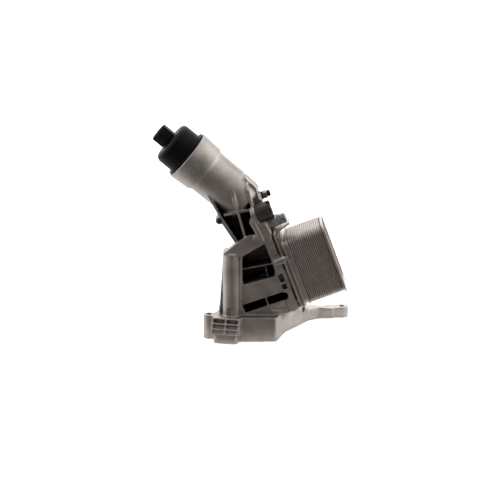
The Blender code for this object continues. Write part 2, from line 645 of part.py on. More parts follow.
# Ribs in the pockets and under the bowl
slab("cross_rib", ADD_2, strip((-52, 109.4), (-6, 118.2), THIN_RIB_T), -48, WEB_NEAR + 1)
slab("short_rib", ADD_2, strip((-17, 117), (-12.5, 97), THIN_RIB_T), -44, WEB_NEAR + 1)
slab("slot_rib", ADD_2, strip((-17.5, 69), (-11, 50), THIN_RIB_T), FRAME_NEAR + 1, WEB_NEAR + 1)
slab("shelf", ADD_2, strip((-79.5, 197.4), (-33, 206.8), RIB_T), RIB_NEAR + 1, NECK_FAR - 2)
fin("rib_middle_top", ADD_2, (-67.6, 236), (-60.4, 212), RIB_T, RIB_NEAR + 1, RIB_NEAR - 5, NECK_NEAR + 4)
fin("rib_middle", ADD_2, (-60.5, 212.2), (-45.5, 157), RIB_T - 0.1, RIB_NEAR - 5, RIB_NEAR, NECK_NEAR + 4.2)
fin("rib_right_top", ADD_2, (-48.8, 256), (-43.1, 234.8), RIB_T, -38.5, -57, -26)
fin("rib_right_side", ADD_2, (-43.2, 235.2), (-31.4, 190), RIB_T + 0.4, -56.8, -63, -26.2)
GUSSET = [(-47.6, 252.6), (-30.8, 237.1), (-25.6, 220.4), (-20.8, 216.8), (-20, 213.2),
          seat_xz(COVER_FACE - 7.7, COVER_U - 7.5), (-38.6, 205.2)]
slab("gusset_right", ADD_2, GUSSET, -46.3, -27.3)
fin("rib_left_side", ADD_2, (-104, 229), (-83.5, 192), RIB_T, -52, RIB_NEAR + 4.4, -20)
slab("neck_edge", ADD_2, strip((-86, 194), (-58, 151), RIB_T + 2), RIB_NEAR + 4, NECK_NEAR + 4)
fin("rib_behind_left", ADD_2, (-104, 216), (-80, 182), RIB_T, -12, -16, -4)
slab("rear_rib_low", ADD_2, strip((-78, 72), (20, 72), RIB_T), WEB_FAR - 1, FRAME_FAR - 2)
slab("rear_rib_high", ADD_2, strip((-78, 101), (10, 101), RIB_T), WEB_FAR - 1, FRAME_FAR - 2)
slab("ball_boss", ADD_2, ring_of(BALL_R + 2, SMALL, BALL_X, BALL_Z), BALL_NEAR, -34)

# Seat pads around the ports and bolts
for label, (u, y) in PORTS.items():
    guide(prism(ring_of(SEAL_R + 5, ROUND, u, y), BAR_FACE - 3, BAR_FACE + PAD_H + 1),
          "pad_" + label, ADD_2, SEAT)
for label, u0, u1 in (("high", -126.0, -112.0), ("middle", -99.6, -69.4), ("low", -48.7, -35.3)):
    guide(prism(box_outline(u0, u1, BAR_NEAR - 1.3, -20.7), BAR_FACE - 2.5, BAR_FACE + PAD_H + 1.7),
          "pad_near_" + label, ADD_2, SEAT)
boss_r = BOLT_FLANGE_R + 0.8
for index, (u, y) in enumerate(BOLTS):
    guide(prism(ring_of(boss_r, SMALL, u, y), BAR_FACE - BOLT_BOSS_L, BAR_FACE + PAD_H + 2.4),
          "bolt_boss_%d" % (index + 1), ADD_2, SEAT)
    root = (max(u, BAR_TOP + 8), min(max(y, BAR_NEAR + 3), BAR_FAR - 6))
    guide(prism(strip((u, y), root, 2 * boss_r - 2), BAR_FACE - BOLT_BOSS_L + 1, BAR_FACE + PAD_H + 3),
          "bolt_web_%d" % (index + 1), ADD_2, SEAT)
    guide(prism(ring_of(BOLT_R + GAP, 8, u, y, math.pi / 8), BAR_FACE + PAD_H + GAP + BASE_PLATE_T - BOLT_LENGTH - 1,
                BAR_FACE + 9), "bolt_bore_%d" % (index + 1), CUT_2, SEAT)

# One machined face levels the pads; then come the seal grooves and the bores
machined = [(-182, -38), (-165, -38), (-165, -80), (-25, -80), (-25, 50), (-182, 50)]
guide(prism(machined, BAR_FACE + PAD_H, BAR_FACE + PAD_H + 8), "machined_face", CUT_2, SEAT)
seal_low = BAR_FACE + PAD_H - 2 * SEAL_WIRE_R - GAP
for label, (u, y) in PORTS.items():
    guide(turned([(SEAL_R - SEAL_WIRE_R - GAP, seal_low - GAP), (SEAL_R + SEAL_WIRE_R + GAP, seal_low - GAP),
                  (SEAL_R + SEAL_WIRE_R + GAP, BAR_FACE + 5), (SEAL_R - SEAL_WIRE_R - GAP, BAR_FACE + 5)],
                 ROUND), "seal_groove_" + label, CUT_2, SEAT, (u, y, 0))
bowl_profile = [(0, 1), (THREAD_BORE_R, 1), (THREAD_BORE_R, -THREAD_DEPTH),
                (BOWL_BORE_R, -THREAD_DEPTH - 3), (BOWL_BORE_R, -BOWL_DEPTH),
                (CORE_SPIGOT_R + GAP, -BOWL_DEPTH), (CORE_SPIGOT_R + GAP, -BOWL_DEPTH - 6.3),
                (0, -BOWL_DEPTH - 6.3)]
guide(turned(bowl_profile, FINE), "bowl_bore", CUT_2, BOWL)
guide(prism(ring_of(DRAIN_BORE_R, SMALL, -DRAIN_OFFSET, 0), -BOWL_DEPTH - DRAIN_DEPTH, -BOWL_DEPTH + 2),
      "drain_bore", CUT_2, BOWL)
guide(prism(ring_of(BYPASS_BORE_R, ROUND, BYPASS_U, BYPASS_Y), BYPASS_BORE_FLOOR, BYPASS_BOSS_FACE + 2),
      "bypass_bore", CUT_2, SEAT)
guide(between(seat_point(BYPASS_BORE_FLOOR + 5, BYPASS_U, BYPASS_Y),
              seat_point(BYPASS_BORE_FLOOR + 5, BYPASS_U, -20), 4.0, 12), "bypass_cross", CUT_2)
guide(prism(ring_of(COVER_BORE_R, ROUND, COVER_U, COVER_Y), COVER_FACE - COVER_BORE_DEPTH, COVER_FACE + 2),
      "cover_bore", CUT_2, SEAT)
guide(prism(ring_of(BLEED_BORE_R, 8, BLEED_U, BLEED_Y), BLEED_FACE - 10, BLEED_FACE + 2),
      "bleed_bore", CUT_2, SEAT)
guide(prism(ring_of(2.8, 8, BALL_X, BALL_Z), -BALL_NEAR - 8, -BALL_NEAR + 2), "ball_bore", CUT_2, FRONT)

# Gasket groove round the foot of the base
GROOVE = inset_outline(HOLLOW, -4.0)
groove_out = inset_outline(GROOVE, -(GASKET_W / 2 + GAP))
groove_in = inset_outline(GROOVE, GASKET_W / 2 + GAP)


def band(outer, inner, low, high):
    """A flat closed band between two outlines of equal point counts."""
    bm = bmesh.new()
    loops = [[bm.verts.new((x, y, z)) for x, y in ring]
             for ring, z in ((outer, low), (outer, high), (inner, high), (inner, low))]
    count = len(outer)
    for a, b in zip(loops, loops[1:] + loops[:1]):
        for i in range(count):
            j = (i + 1) % count
            bm.faces.new((a[i], a[j], b[j], b[i]))
    return bm


guide(band(groove_out, groove_in, -1, GROOVE_DEPTH), "gasket_groove", CUT_2)
combine(housing, CUT_0, 'DIFFERENCE')
combine(housing, ADD_1, 'UNION')
combine(housing, CUT_1, 'DIFFERENCE')
combine(housing, ADD_2, 'UNION')
combine(housing, CUT_2, 'DIFFERENCE')
place(band(inset_outline(GROOVE, -GASKET_W / 2), inset_outline(GROOVE, GASKET_W / 2),
           GROOVE_DEPTH - GASKET_T - 0.2, GROOVE_DEPTH - 0.2), "base_gasket", mat=RUBBER)

# Screw cap: skirt, flange, dome, neck and hexagon in one moulding
skirt_r = THREAD_BORE_R - CAP_SKIRT_CLEARANCE
skirt_in = skirt_r - CAP_SKIRT_WALL
ring_z = -3.2
groove_r = skirt_r - 2 * CAP_RING_WIRE_R - GAP + 0.1
top_in = CAP_DOME_TOP - CAP_DOME_WALL
shoulder = CAP_DOME_R - 1.0
arc = [(shoulder - CAP_EDGE_R + CAP_EDGE_R * math.cos(a), CAP_DOME_TOP - CAP_EDGE_R + CAP_EDGE_R * math.sin(a))
       for a in (0, math.radians(30), math.radians(60), math.radians(90))]
cap_profile = [(0, CAP_DOME_TOP + CAP_NECK_H), (CAP_NECK_R, CAP_DOME_TOP + CAP_NECK_H),
               (CAP_NECK_R, CAP_DOME_TOP)] + arc[::-1] + [
    (CAP_DOME_R, GAP + CAP_FLANGE_T), (CAP_FLANGE_R, GAP + CAP_FLANGE_T), (CAP_FLANGE_R, GAP),
    (skirt_r, GAP), (skirt_r, ring_z + CAP_RING_WIRE_R + GAP), (groove_r, ring_z + CAP_RING_WIRE_R + GAP),
    (groove_r, ring_z - CAP_RING_WIRE_R - GAP), (skirt_r, ring_z - CAP_RING_WIRE_R - GAP),
    (skirt_r, -CAP_SKIRT_LENGTH), (skirt_in, -CAP_SKIRT_LENGTH), (skirt_in, 16), (skirt_in - 1, top_in),
    (END_CAP_R - 3, top_in), (END_CAP_R - 3, ELEMENT_TOP + END_CAP_T + 2 * GAP),
    (END_CAP_R - 5, ELEMENT_TOP + END_CAP_T + 2 * GAP), (END_CAP_R - 5, top_in), (0, top_in)]
cap = place(turned(cap_profile, FINE), "filter_cap", BOWL, mat=NYLON)
HEX_TOOL = group_of("cap_hexagon")
hex_low, hex_high = CAP_DOME_TOP + CAP_NECK_H - 0.5, CAP_DOME_TOP + CAP_NECK_H + CAP_HEX_H
guide(stacked([(hexagon(CAP_HEX_AF), hex_low), (hexagon(CAP_HEX_AF), hex_high - 1.2),
               (ring_of(CAP_HEX_AF / 2 - 0.3, 12), hex_high)]), "hexagon", HEX_TOOL, BOWL)
combine(cap, HEX_TOOL, 'UNION')
torus("cap_o_ring", BOWL, (0, 0, ring_z), groove_r + GAP + CAP_RING_WIRE_R,
      CAP_RING_WIRE_R, steps=FINE, sides=5)

# Filter element: pleated paper between two moulded end caps
pleat_count = 2 * PLEATS
outer = [((ELEMENT_R - PLEAT_DEPTH * (i % 2)) * math.cos(2 * math.pi * i / pleat_count),
          (ELEMENT_R - PLEAT_DEPTH * (i % 2)) * math.sin(2 * math.pi * i / pleat_count))
         for i in range(pleat_count)]
inner = ring_of(ELEMENT_BORE_R, pleat_count)
place(band(outer, inner, ELEMENT_BOTTOM, ELEMENT_TOP), "filter_media", BOWL, mat=PAPER, smooth=False)
hole_r = CORE_R + 0.7
place(turned([(hole_r, ELEMENT_TOP + GAP), (END_CAP_R, ELEMENT_TOP + GAP),
              (END_CAP_R, ELEMENT_TOP + GAP + END_CAP_T), (hole_r, ELEMENT_TOP + GAP + END_CAP_T)], FINE),
      "filter_end_cap_upper", BOWL, mat=NYLON)
lower_top = ELEMENT_BOTTOM - GAP
lower_bottom = lower_top - END_CAP_T
lower_cap = place(turned([(hole_r, lower_bottom), (END_CAP_R, lower_bottom), (END_CAP_R, lower_top),
                          (hole_r, lower_top)], FINE), "filter_end_cap_lower", BOWL, mat=NYLON)
pin_tip = -BOWL_DEPTH - DRAIN_DEPTH + 1.5
pin_ring_z = -BOWL_DEPTH - 4.0
pin_groove_r = DRAIN_BORE_R - GAP - 2 * DRAIN_RING_WIRE_R - GAP
pin_half = DRAIN_RING_WIRE_R + GAP
PIN_TOOL = group_of("drain_pin")
guide(turned([(0, pin_tip), (DRAIN_PIN_R - 1, pin_tip), (DRAIN_PIN_R, pin_tip + 1),
              (DRAIN_PIN_R, pin_ring_z - pin_half), (pin_groove_r, pin_ring_z - pin_half),
              (pin_groove_r, pin_ring_z + pin_half), (DRAIN_PIN_R, pin_ring_z + pin_half),
              (DRAIN_PIN_R, lower_bottom + 1), (0, lower_bottom + 1)], SMALL),
      "drain_pin_shape", PIN_TOOL, BOWL, (-DRAIN_OFFSET, 0, 0))
combine(lower_cap, PIN_TOOL, 'UNION')
torus("drain_pin_o_ring", BOWL, (-DRAIN_OFFSET, 0, pin_ring_z), pin_groove_r + GAP + DRAIN_RING_WIRE_R,
      DRAIN_RING_WIRE_R, steps=SMALL, sides=5)

# Support core with its windows, the flap valve round its foot and the bypass valve in its top
floor = -BOWL_DEPTH
core_in = CORE_R - CORE_WALL
foot_top = floor + GAP + 3.0
seat_low = CORE_TOP - BYPASS_SEAT_T
cage_top = seat_low - GAP - BYPASS_DISC_T - GAP - BYPASS_SPRING_LENGTH - GAP
core = place(turned([(CORE_SPIGOT_R - 2.2, floor - 6), (CORE_SPIGOT_R, floor - 6),
                     (CORE_SPIGOT_R, floor + GAP), (CORE_FOOT_R, floor + GAP), (CORE_FOOT_R, foot_top),
                     (CORE_R, foot_top), (CORE_R, CORE_TOP), (BYPASS_HOLE_R, CORE_TOP),
                     (BYPASS_HOLE_R, seat_low), (core_in, seat_low), (core_in, cage_top - CAGE_T - GAP),
                     (core_in - 1.2, cage_top - CAGE_T - GAP), (core_in - 1.2, floor + 8),
                     (CORE_SPIGOT_R - 2.2, floor + 6)], ROUND), "support_core", BOWL, mat=NYLON)
WINDOWS = group_of("core_windows")
for row, (low, high) in enumerate(((-92, -70), (-65, -44), (-39, cage_top - CAGE_T - 4))):
    for turn in (0, 1):
        half = (4.2, 20) if turn else (20, 4.2)
        guide(prism(box_outline(-half[0], half[0], -half[1], half[1]), low, high),
              "window_%d_%d" % (row, turn), WINDOWS, BOWL)
combine(core, WINDOWS, 'DIFFERENCE')
flap = place(turned([(CORE_FOOT_R + 0.5, floor + GAP), (BOWL_BORE_R - 0.8, floor + GAP),
                     (BOWL_BORE_R - 0.8, floor + GAP + FLAP_T), (CORE_FOOT_R + 0.5, floor + GAP + FLAP_T)],
                    FINE), "non_return_flap", BOWL, mat=RUBBER)
FLAP_TOOL = group_of("flap_hole")
guide(prism(ring_of(DRAIN_BORE_R, SMALL, -DRAIN_OFFSET, 0), floor - 2, floor + 5),
      "flap_hole_shape", FLAP_TOOL, BOWL)
combine(flap, FLAP_TOOL, 'DIFFERENCE')
disc_top = seat_low - GAP
place(turned([(0, 0), (0, -BYPASS_DISC_T), (BYPASS_DISC_R, -BYPASS_DISC_T), (BYPASS_DISC_R, 0)], ROUND),
      "filter_bypass_disc", BOWL, (0, 0, disc_top), NYLON)
coil("filter_bypass_spring", BOWL, (0, 0, cage_top + GAP), 6.0, 0.55, BYPASS_SPRING_LENGTH, 5)
cage_ring = core_in - GAP
cage = place(turned([(cage_ring - 2.2, cage_top - CAGE_T), (cage_ring, cage_top - CAGE_T),
                     (cage_ring, cage_top), (cage_ring - 2.2, cage_top)], ROUND),
             "filter_bypass_cage", BOWL, mat=NYLON)
CAGE_TOOL = group_of("cage_bars")
guide(prism(box_outline(-cage_ring + 1, cage_ring - 1, -2, 2), cage_top - CAGE_T + 0.5, cage_top - 0.4),
      "cage_bar_one", CAGE_TOOL, BOWL)
guide(prism(box_outline(-2, 2, -cage_ring + 1, cage_ring - 1), cage_top - CAGE_T + 0.8, cage_top - 0.6),
      "cage_bar_two", CAGE_TOOL, BOWL)
combine(cage, CAGE_TOOL, 'UNION')

# Cooler: base plate, pressed tray, spacer, brazed plates and end plate
plate_n = BAR_FACE + PAD_H + GAP
tray_n = plate_n + BASE_PLATE_T + GAP
spacer_n = tray_n + TRAY_T + GAP
stack_n = spacer_n + SPACER_T + GAP
end_n = stack_n + STACK_PLATES * PLATE_PITCH + GAP
plate_top, plate_bottom = STACK_TOP - 12.5, STACK_BOTTOM + 2.0
base_plate = place(prism(rounded(box_outline(plate_top, plate_bottom, STACK_NEAR - 2, STACK_FAR + 2), 9),
                         plate_n, plate_n + BASE_PLATE_T), "cooler_base_plate", SEAT, mat=PLATE)
EARS = group_of("plate_ears")
HOLES = group_of("plate_holes")
ear_roots = [(0, 12), (24, 0), (0, -14), (0, -14)]
for index, ((u, y), (du, dy)) in enumerate(zip(BOLTS, ear_roots)):
    r = BOLT_FLANGE_R + 1.2
    away = Vector((-du, -dy)).normalized()
    side = Vector((-away.y, away.x)) * r
    tip_turn = math.atan2(away.y, away.x)
    ear = [tuple(Vector((u + du, y + dy)) - side * 1.25), ]
    ear += ring_of(r, 16, u, y, tip_turn - math.pi / 2)[0:9]
    ear += [tuple(Vector((u + du, y + dy)) + side * 1.25)]
    inset = 0.1 * (index + 1)
    guide(prism(ear, plate_n + inset, plate_n + BASE_PLATE_T - inset), "ear_%d" % (index + 1), EARS, SEAT)
    guide(prism(ring_of(BOLT_R + 0.5, 12, u, y), plate_n - 1, plate_n + BASE_PLATE_T + 1),
          "bolt_hole_%d" % (index + 1), HOLES, SEAT)
for label, (u, y) in PORTS.items():
    guide(prism(ring_of(PORT_R, 16, u, y), plate_n - 1, spacer_n - 0.1), "plate_port_" + label, HOLES, SEAT)
combine(base_plate, EARS, 'UNION')
combine(base_plate, HOLES, 'DIFFERENCE')
lip_u = STACK_TOP - 11.0
tray_profile = [(STACK_BOTTOM + 2.3, tray_n), (STACK_BOTTOM + 2.3, tray_n + TRAY_T), (lip_u, tray_n + TRAY_T),
                (lip_u - 4.0, tray_n + 8), (STACK_TOP - 20.0, tray_n + 25.4), (STACK_TOP - 21.8, tray_n + 24.6),
                (lip_u - 6.2, tray_n + 8.4), (lip_u - 2.4, tray_n)]
tray = bmesh.new()
loops = [[tray.verts.new((u, y, n)) for u, n in tray_profile] for y in (STACK_NEAR + 1, STACK_FAR - 1)]
tray.faces.new(loops[0])
tray.faces.new(loops[1])
for i in range(len(tray_profile)):
    j = (i + 1) % len(tray_profile)
    tray.faces.new((loops[0][i], loops[0][j], loops[1][j], loops[1][i]))
tray = place(tray, "cooler_tray", SEAT, mat=PLATE, smooth=False)
LIP = group_of("tray_lip")
lip = bmesh.new()
lip_profile = [(STACK_BOTTOM + 1.5, tray_n + 0.2), (STACK_BOTTOM + 5.5, tray_n - 2.0), (STACK_BOTTOM + 7.0, plate_n - 0.5),
               (STACK_BOTTOM + 8.6, plate_n - 0.3), (STACK_BOTTOM + 7.0, tray_n - 1.0), (STACK_BOTTOM + 3.0, tray_n + 1.8)]
loops = [[lip.verts.new((u, y, n)) for u, n in lip_profile] for y in (STACK_NEAR + 3, STACK_FAR - 3)]
lip.faces.new(loops[0])
lip.faces.new(loops[1])
for i in range(len(lip_profile)):
    j = (i + 1) % len(lip_profile)
    lip.faces.new((loops[0][i], loops[0][j], loops[1][j], loops[1][i]))
guide(lip, "lower_lip", LIP, SEAT)
combine(tray, LIP, 'UNION')
TRAY_PORTS = group_of("tray_ports")
for label, (u, y) in PORTS.items():
    guide(prism(ring_of(PORT_R - 0.2, 16, u, y), tray_n - 1, tray_n + TRAY_T + 1),
          "tray_port_" + label, TRAY_PORTS, SEAT)
combine(tray, TRAY_PORTS, 'DIFFERENCE')


def plate_outline(grow):
    """The cooler's rounded plate outline, grown or shrunk all round."""
    r = STACK_CORNER_R + grow
    return rounded(box_outline(STACK_TOP - grow, STACK_BOTTOM + grow, STACK_NEAR - grow, STACK_FAR + grow), r, 3)


spacer_step = SPACER_T / 4
levels = []
for k in range(4):
    z = spacer_n + spacer_step * k
    out = 1.2 if k in (0, 3) else -1.6
    levels += [(plate_outline(out), z + (0.0 if k == 0 else 0.1)), (plate_outline(out), z + spacer_step)]
place(stacked(levels), "cooler_spacer", SEAT, mat=PLATE)
levels = []
for k in range(STACK_PLATES):
    z = stack_n + PLATE_PITCH * k
    levels += [(plate_outline(-PLATE_FLARE), z), (plate_outline(0), z + PLATE_PITCH * 0.5)]
levels.append((plate_outline(-PLATE_FLARE), stack_n + PLATE_PITCH * STACK_PLATES))
place(stacked(levels), "cooler_plates", SEAT, mat=PLATE)
rim = END_PLATE_T
place(stacked([(plate_outline(0.6), end_n), (plate_outline(1.0), end_n + rim * 0.5), (plate_outline(1.0), end_n + rim),
               (plate_outline(-2.2), end_n + rim), (plate_outline(-3.4), end_n + rim - 1.6)]),
      "cooler_end_plate", SEAT, mat=PLATE)

# Port seals and bolts
for label, (u, y) in PORTS.items():
    torus("seal_" + label, SEAT, (u, y, BAR_FACE + PAD_H - SEAL_WIRE_R), SEAL_R, SEAL_WIRE_R, steps=ROUND, sides=6)
head_n = plate_n + BASE_PLATE_T + GAP
for index, (u, y) in enumerate(BOLTS):
    levels = [(ring_of(BOLT_R - 0.8, 12), head_n - BOLT_LENGTH), (ring_of(BOLT_R, 12), head_n - BOLT_LENGTH + 1),
              (ring_of(BOLT_R, 12), head_n), (ring_of(BOLT_FLANGE_R, 12), head_n),
              (ring_of(BOLT_FLANGE_R, 12), head_n + 1), (ring_of(BOLT_FLANGE_R - 0.9, 12), head_n + 1.6),
              (hexagon(BOLT_HEAD_AF), head_n + 1.7), (hexagon(BOLT_HEAD_AF), head_n + BOLT_HEAD_H - 0.5),
              (ring_of(BOLT_HEAD_AF / 2 - 0.3, 12), head_n + BOLT_HEAD_H)]
    place(stacked(levels), "cooler_bolt_%d" % (index + 1), SEAT, (u, y, 0), ZINC)

# Bypass valve in the lug: piston, spring, washer and hexagon plug
u, y = BYPASS_U, BYPASS_Y
piston_low = BYPASS_BORE_FLOOR + GAP
spring_low = piston_low + PISTON_H + GAP
plug_tip = spring_low + BYPASS_SPRING_H + GAP
washer_n = BYPASS_BOSS_FACE + GAP
plug_n = washer_n + PLUG_WASHER_T + GAP
piston_r = BYPASS_BORE_R - GAP
place(turned([(0, 0), (piston_r - 1, 0), (piston_r, 1), (piston_r, PISTON_H - 2), (piston_r - 2.4, PISTON_H - 2),
              (piston_r - 2.4, PISTON_H), (0, PISTON_H)], ROUND), "bypass_piston", SEAT, (u, y, piston_low), ZINC)
coil("bypass_spring", SEAT, (u, y, spring_low), 5.2, 0.7, BYPASS_SPRING_H, 4)
place(turned([(BYPASS_BORE_R + 0.2, washer_n), (BYPASS_BOSS_R - 0.4, washer_n),
              (BYPASS_BOSS_R - 0.4, washer_n + PLUG_WASHER_T), (BYPASS_BORE_R + 0.2, washer_n + PLUG_WASHER_T)], ROUND),
      "bypass_plug_washer", SEAT, (u, y, 0), SOFT)
place(stacked([(ring_of(piston_r - 1, SMALL), plug_tip), (ring_of(piston_r, SMALL), plug_tip + 1),
               (ring_of(piston_r, SMALL), plug_n), (ring_of(BYPASS_BOSS_R - 0.5, SMALL), plug_n),
               (ring_of(BYPASS_BOSS_R - 0.5, SMALL), plug_n + 1.8), (hexagon(PLUG_AF), plug_n + 2.2),
               (hexagon(PLUG_AF), plug_n + PLUG_HEAD_H + 0.8),
               (ring_of(PLUG_AF / 2 - 0.5, SMALL), plug_n + PLUG_HEAD_H + 2)]),
      "bypass_plug", SEAT, (u, y, 0), ZINC)

# Notched round cover, bleed screw with its washer and cap, and the pressed plug
u, y = COVER_U, COVER_Y
cover_n = COVER_FACE + GAP
spigot = cover_n - COVER_BORE_DEPTH + 1.7
cover_ring_z = cover_n - 2.4
cover_groove = COVER_BORE_R - 2 * GAP - 2.4
half = 1.2 + GAP
cover = place(turned([(0, spigot), (COVER_BORE_R - GAP, spigot), (COVER_BORE_R - GAP, cover_ring_z - half),
                      (cover_groove, cover_ring_z - half), (cover_groove, cover_ring_z + half),
                      (COVER_BORE_R - GAP, cover_ring_z + half), (COVER_BORE_R - GAP, cover_n),
                      (COVER_R, cover_n), (COVER_R, cover_n + COVER_H), (0, cover_n + COVER_H)], 24),
              "valve_cover", SEAT, (u, y, 0), NYLON)
NOTCHES = group_of("cover_notches")
for k in range(6):
    turn = math.radians(60 * k + 30)
    c, s = math.cos(turn), math.sin(turn)
    corners = [(c * a - s * b, s * a + c * b) for a, b in ((9, -3.2), (17, -3.2), (17, 3.2), (9, 3.2))]
    guide(prism(corners, cover_n + COVER_H - 4.5, cover_n + COVER_H + 2), "notch_%d" % k, NOTCHES,
          SEAT, (u, y, 0))
combine(cover, NOTCHES, 'DIFFERENCE')
torus("valve_cover_o_ring", SEAT, (u, y, cover_ring_z), cover_groove + GAP + 1.2, 1.2, steps=ROUND, sides=5)
u, y = BLEED_U, BLEED_Y
washer = BLEED_FACE + GAP
screw = washer + 2.0 + GAP
place(turned([(BLEED_BORE_R + 0.3, washer), (BLEED_R, washer), (BLEED_R, washer + 2), (BLEED_BORE_R + 0.3, washer + 2)],
             SMALL), "bleed_screw_washer", SEAT, (u, y, 0), RUBBER)
place(stacked([(ring_of(BLEED_BORE_R - 1, 12), BLEED_FACE - 8), (ring_of(BLEED_BORE_R - GAP, 12), BLEED_FACE - 7),
               (ring_of(BLEED_BORE_R - GAP, 12), screw), (ring_of(BLEED_R - 0.3, 12), screw),
               (ring_of(BLEED_R - 0.3, 12), screw + 1.2), (hexagon(BLEED_HEX_AF), screw + 1.4), (hexagon(BLEED_HEX_AF), screw + 6),
               (ring_of(2.4, 12), screw + 6.2), (ring_of(2.4, 12), screw + 9.5)]),
      "bleed_screw", SEAT, (u, y, 0), ZINC)
place(turned([(2.4 + GAP, screw + 6.2 + GAP), (BLEED_CAP_R, screw + 6.2 + GAP), (BLEED_CAP_R, screw + 10.6),
              (BLEED_CAP_R - 1, screw + 11.4), (0, screw + 11.4), (0, screw + 9.5 + GAP), (2.4 + GAP, screw + 9.5 + GAP)], SMALL),
      "bleed_cap", SEAT, (u, y, 0), RUBBER)
place(turned([(0, -BALL_NEAR - 6), (2.3, -BALL_NEAR - 6), (2.3, -BALL_NEAR + GAP), (BALL_R, -BALL_NEAR + GAP),
              (BALL_R, -BALL_NEAR + 2.2), (BALL_R * 0.75, -BALL_NEAR + 3.9), (0, -BALL_NEAR + 4.8)], SMALL),
      "channel_plug", FRONT, (BALL_X, BALL_Z, 0), RUBBER)
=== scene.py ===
"""An engine oil cooler: a die-cast oil filter housing, its screw cap and a brazed plate cooler.

The pieces follow in the order in which the cooler is put together. Shapes are drawn in
millimetres, X to the right, Y away from the front and Z up from the gasket face.
"""
import math

import bmesh
import bpy
from mathutils import Matrix, Vector


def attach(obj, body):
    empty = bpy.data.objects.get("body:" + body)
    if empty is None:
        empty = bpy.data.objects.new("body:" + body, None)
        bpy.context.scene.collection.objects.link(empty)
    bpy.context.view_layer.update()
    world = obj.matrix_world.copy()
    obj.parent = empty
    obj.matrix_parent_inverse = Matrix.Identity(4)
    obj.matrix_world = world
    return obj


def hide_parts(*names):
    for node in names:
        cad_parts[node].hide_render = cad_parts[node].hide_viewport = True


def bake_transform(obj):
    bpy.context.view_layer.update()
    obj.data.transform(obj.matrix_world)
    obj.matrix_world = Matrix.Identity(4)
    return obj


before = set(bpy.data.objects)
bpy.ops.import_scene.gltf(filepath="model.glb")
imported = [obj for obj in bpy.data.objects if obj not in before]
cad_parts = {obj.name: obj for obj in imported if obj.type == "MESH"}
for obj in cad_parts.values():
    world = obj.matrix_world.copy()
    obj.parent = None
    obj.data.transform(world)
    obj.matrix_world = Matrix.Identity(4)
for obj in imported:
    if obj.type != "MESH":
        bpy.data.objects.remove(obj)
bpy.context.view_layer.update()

# Die-cast housing. One aluminium pressure die casting, as cast outside and cut only where it
# seats or seals, so its edges are soft, its ribs run out in small fillets and its skin is a
# warm satin grey, with painted shade that makes it browner and darker in its pockets.
MM = 0.001
WELD = 0.001  # points that many millimetres apart are one point
CAST_VOXEL = 0.00105
CAST_MOST_TRIS = 185000


def linear(code):
    """A colour written as sRGB hex, as the linear values that a shader takes."""
    parts = [int(code[i:i + 2], 16) / 255 for i in (1, 3, 5)]
    return (*[c / 12.92 if c <= 0.04045 else ((c + 0.055) / 1.055) ** 2.4 for c in parts], 1.0)


def add(tree, kind, settings=None, links=None):
    """Adds a node: settings go to its sockets or its own options, links join sockets to it."""
    node = tree.nodes.new(kind)
    for key, value in (settings or {}).items():
        if isinstance(key, str) and hasattr(node, key):
            setattr(node, key, value)
        else:
            node.inputs[key].default_value = value
    for key, source in (links or {}).items():
        tree.links.new(source, node.inputs[key])
    return node


def per_mm(size):
    """The scale of a pattern whose features are that many millimetres wide."""
    return 1.0 / (size * MM)


def new_material(name, **sockets):
    """A material with these plain values on its shader."""
    mat = bpy.data.materials.new(name)
    mat.use_nodes = True
    shader = mat.node_tree.nodes["Principled BSDF"]
    for key, value in sockets.items():
        shader.inputs[key.replace("_", " ")].default_value = value
    return mat, mat.node_tree, shader


def new_finish(name, **sockets):
    """The same for a piece, with the piece's own coordinates for its patterns."""
    mat, tree, shader = new_material(name, **sockets)
    return mat, tree, shader, add(tree, "ShaderNodeTexCoord").outputs["Object"]


def shade_stops(ramp, stops):
    """Sets a ramp's colours from (position, sRGB hex) pairs."""
    while len(ramp.elements) < len(stops):
        ramp.elements.new(0.5)
    for element, (position, code) in zip(ramp.elements, stops):
        element.position = position
        element.color = linear(code)


# As-cast aluminium: rough from the blasted skin, so it shines only in broad soft patches, and
# clouded where the melt flowed. The real grit of 0.2 mm is drawn at 0.7 mm, so that it shows.
cast, tree, shader, place = new_finish("cast_aluminium", Metallic=1.0, Roughness=0.5)
clouds = add(tree, "ShaderNodeTexNoise", {"Scale": per_mm(26), "Detail": 5.0, "Roughness": 0.6},
             {"Vector": place})
tones = add(tree, "ShaderNodeValToRGB", {}, {"Fac": clouds.outputs["Fac"]})
shade_stops(tones.color_ramp, [(0.3, "#8a827d"), (0.52, "#9c9590"), (0.74, "#aaa4a0")])
flecks = add(tree, "ShaderNodeTexNoise", {"Scale": per_mm(1.1), "Detail": 2.0}, {"Vector": place})
fleck_mask = add(tree, "ShaderNodeMapRange",
                 {"From Min": 0.35, "From Max": 0.7, "To Min": 0.9, "To Max": 1.06},
                 {"Value": flecks.outputs["Fac"]})
spread = add(tree, "ShaderNodeVectorMath", {"operation": 'SCALE'},
             {0: tones.outputs["Color"], "Scale": fleck_mask.outputs["Result"]})
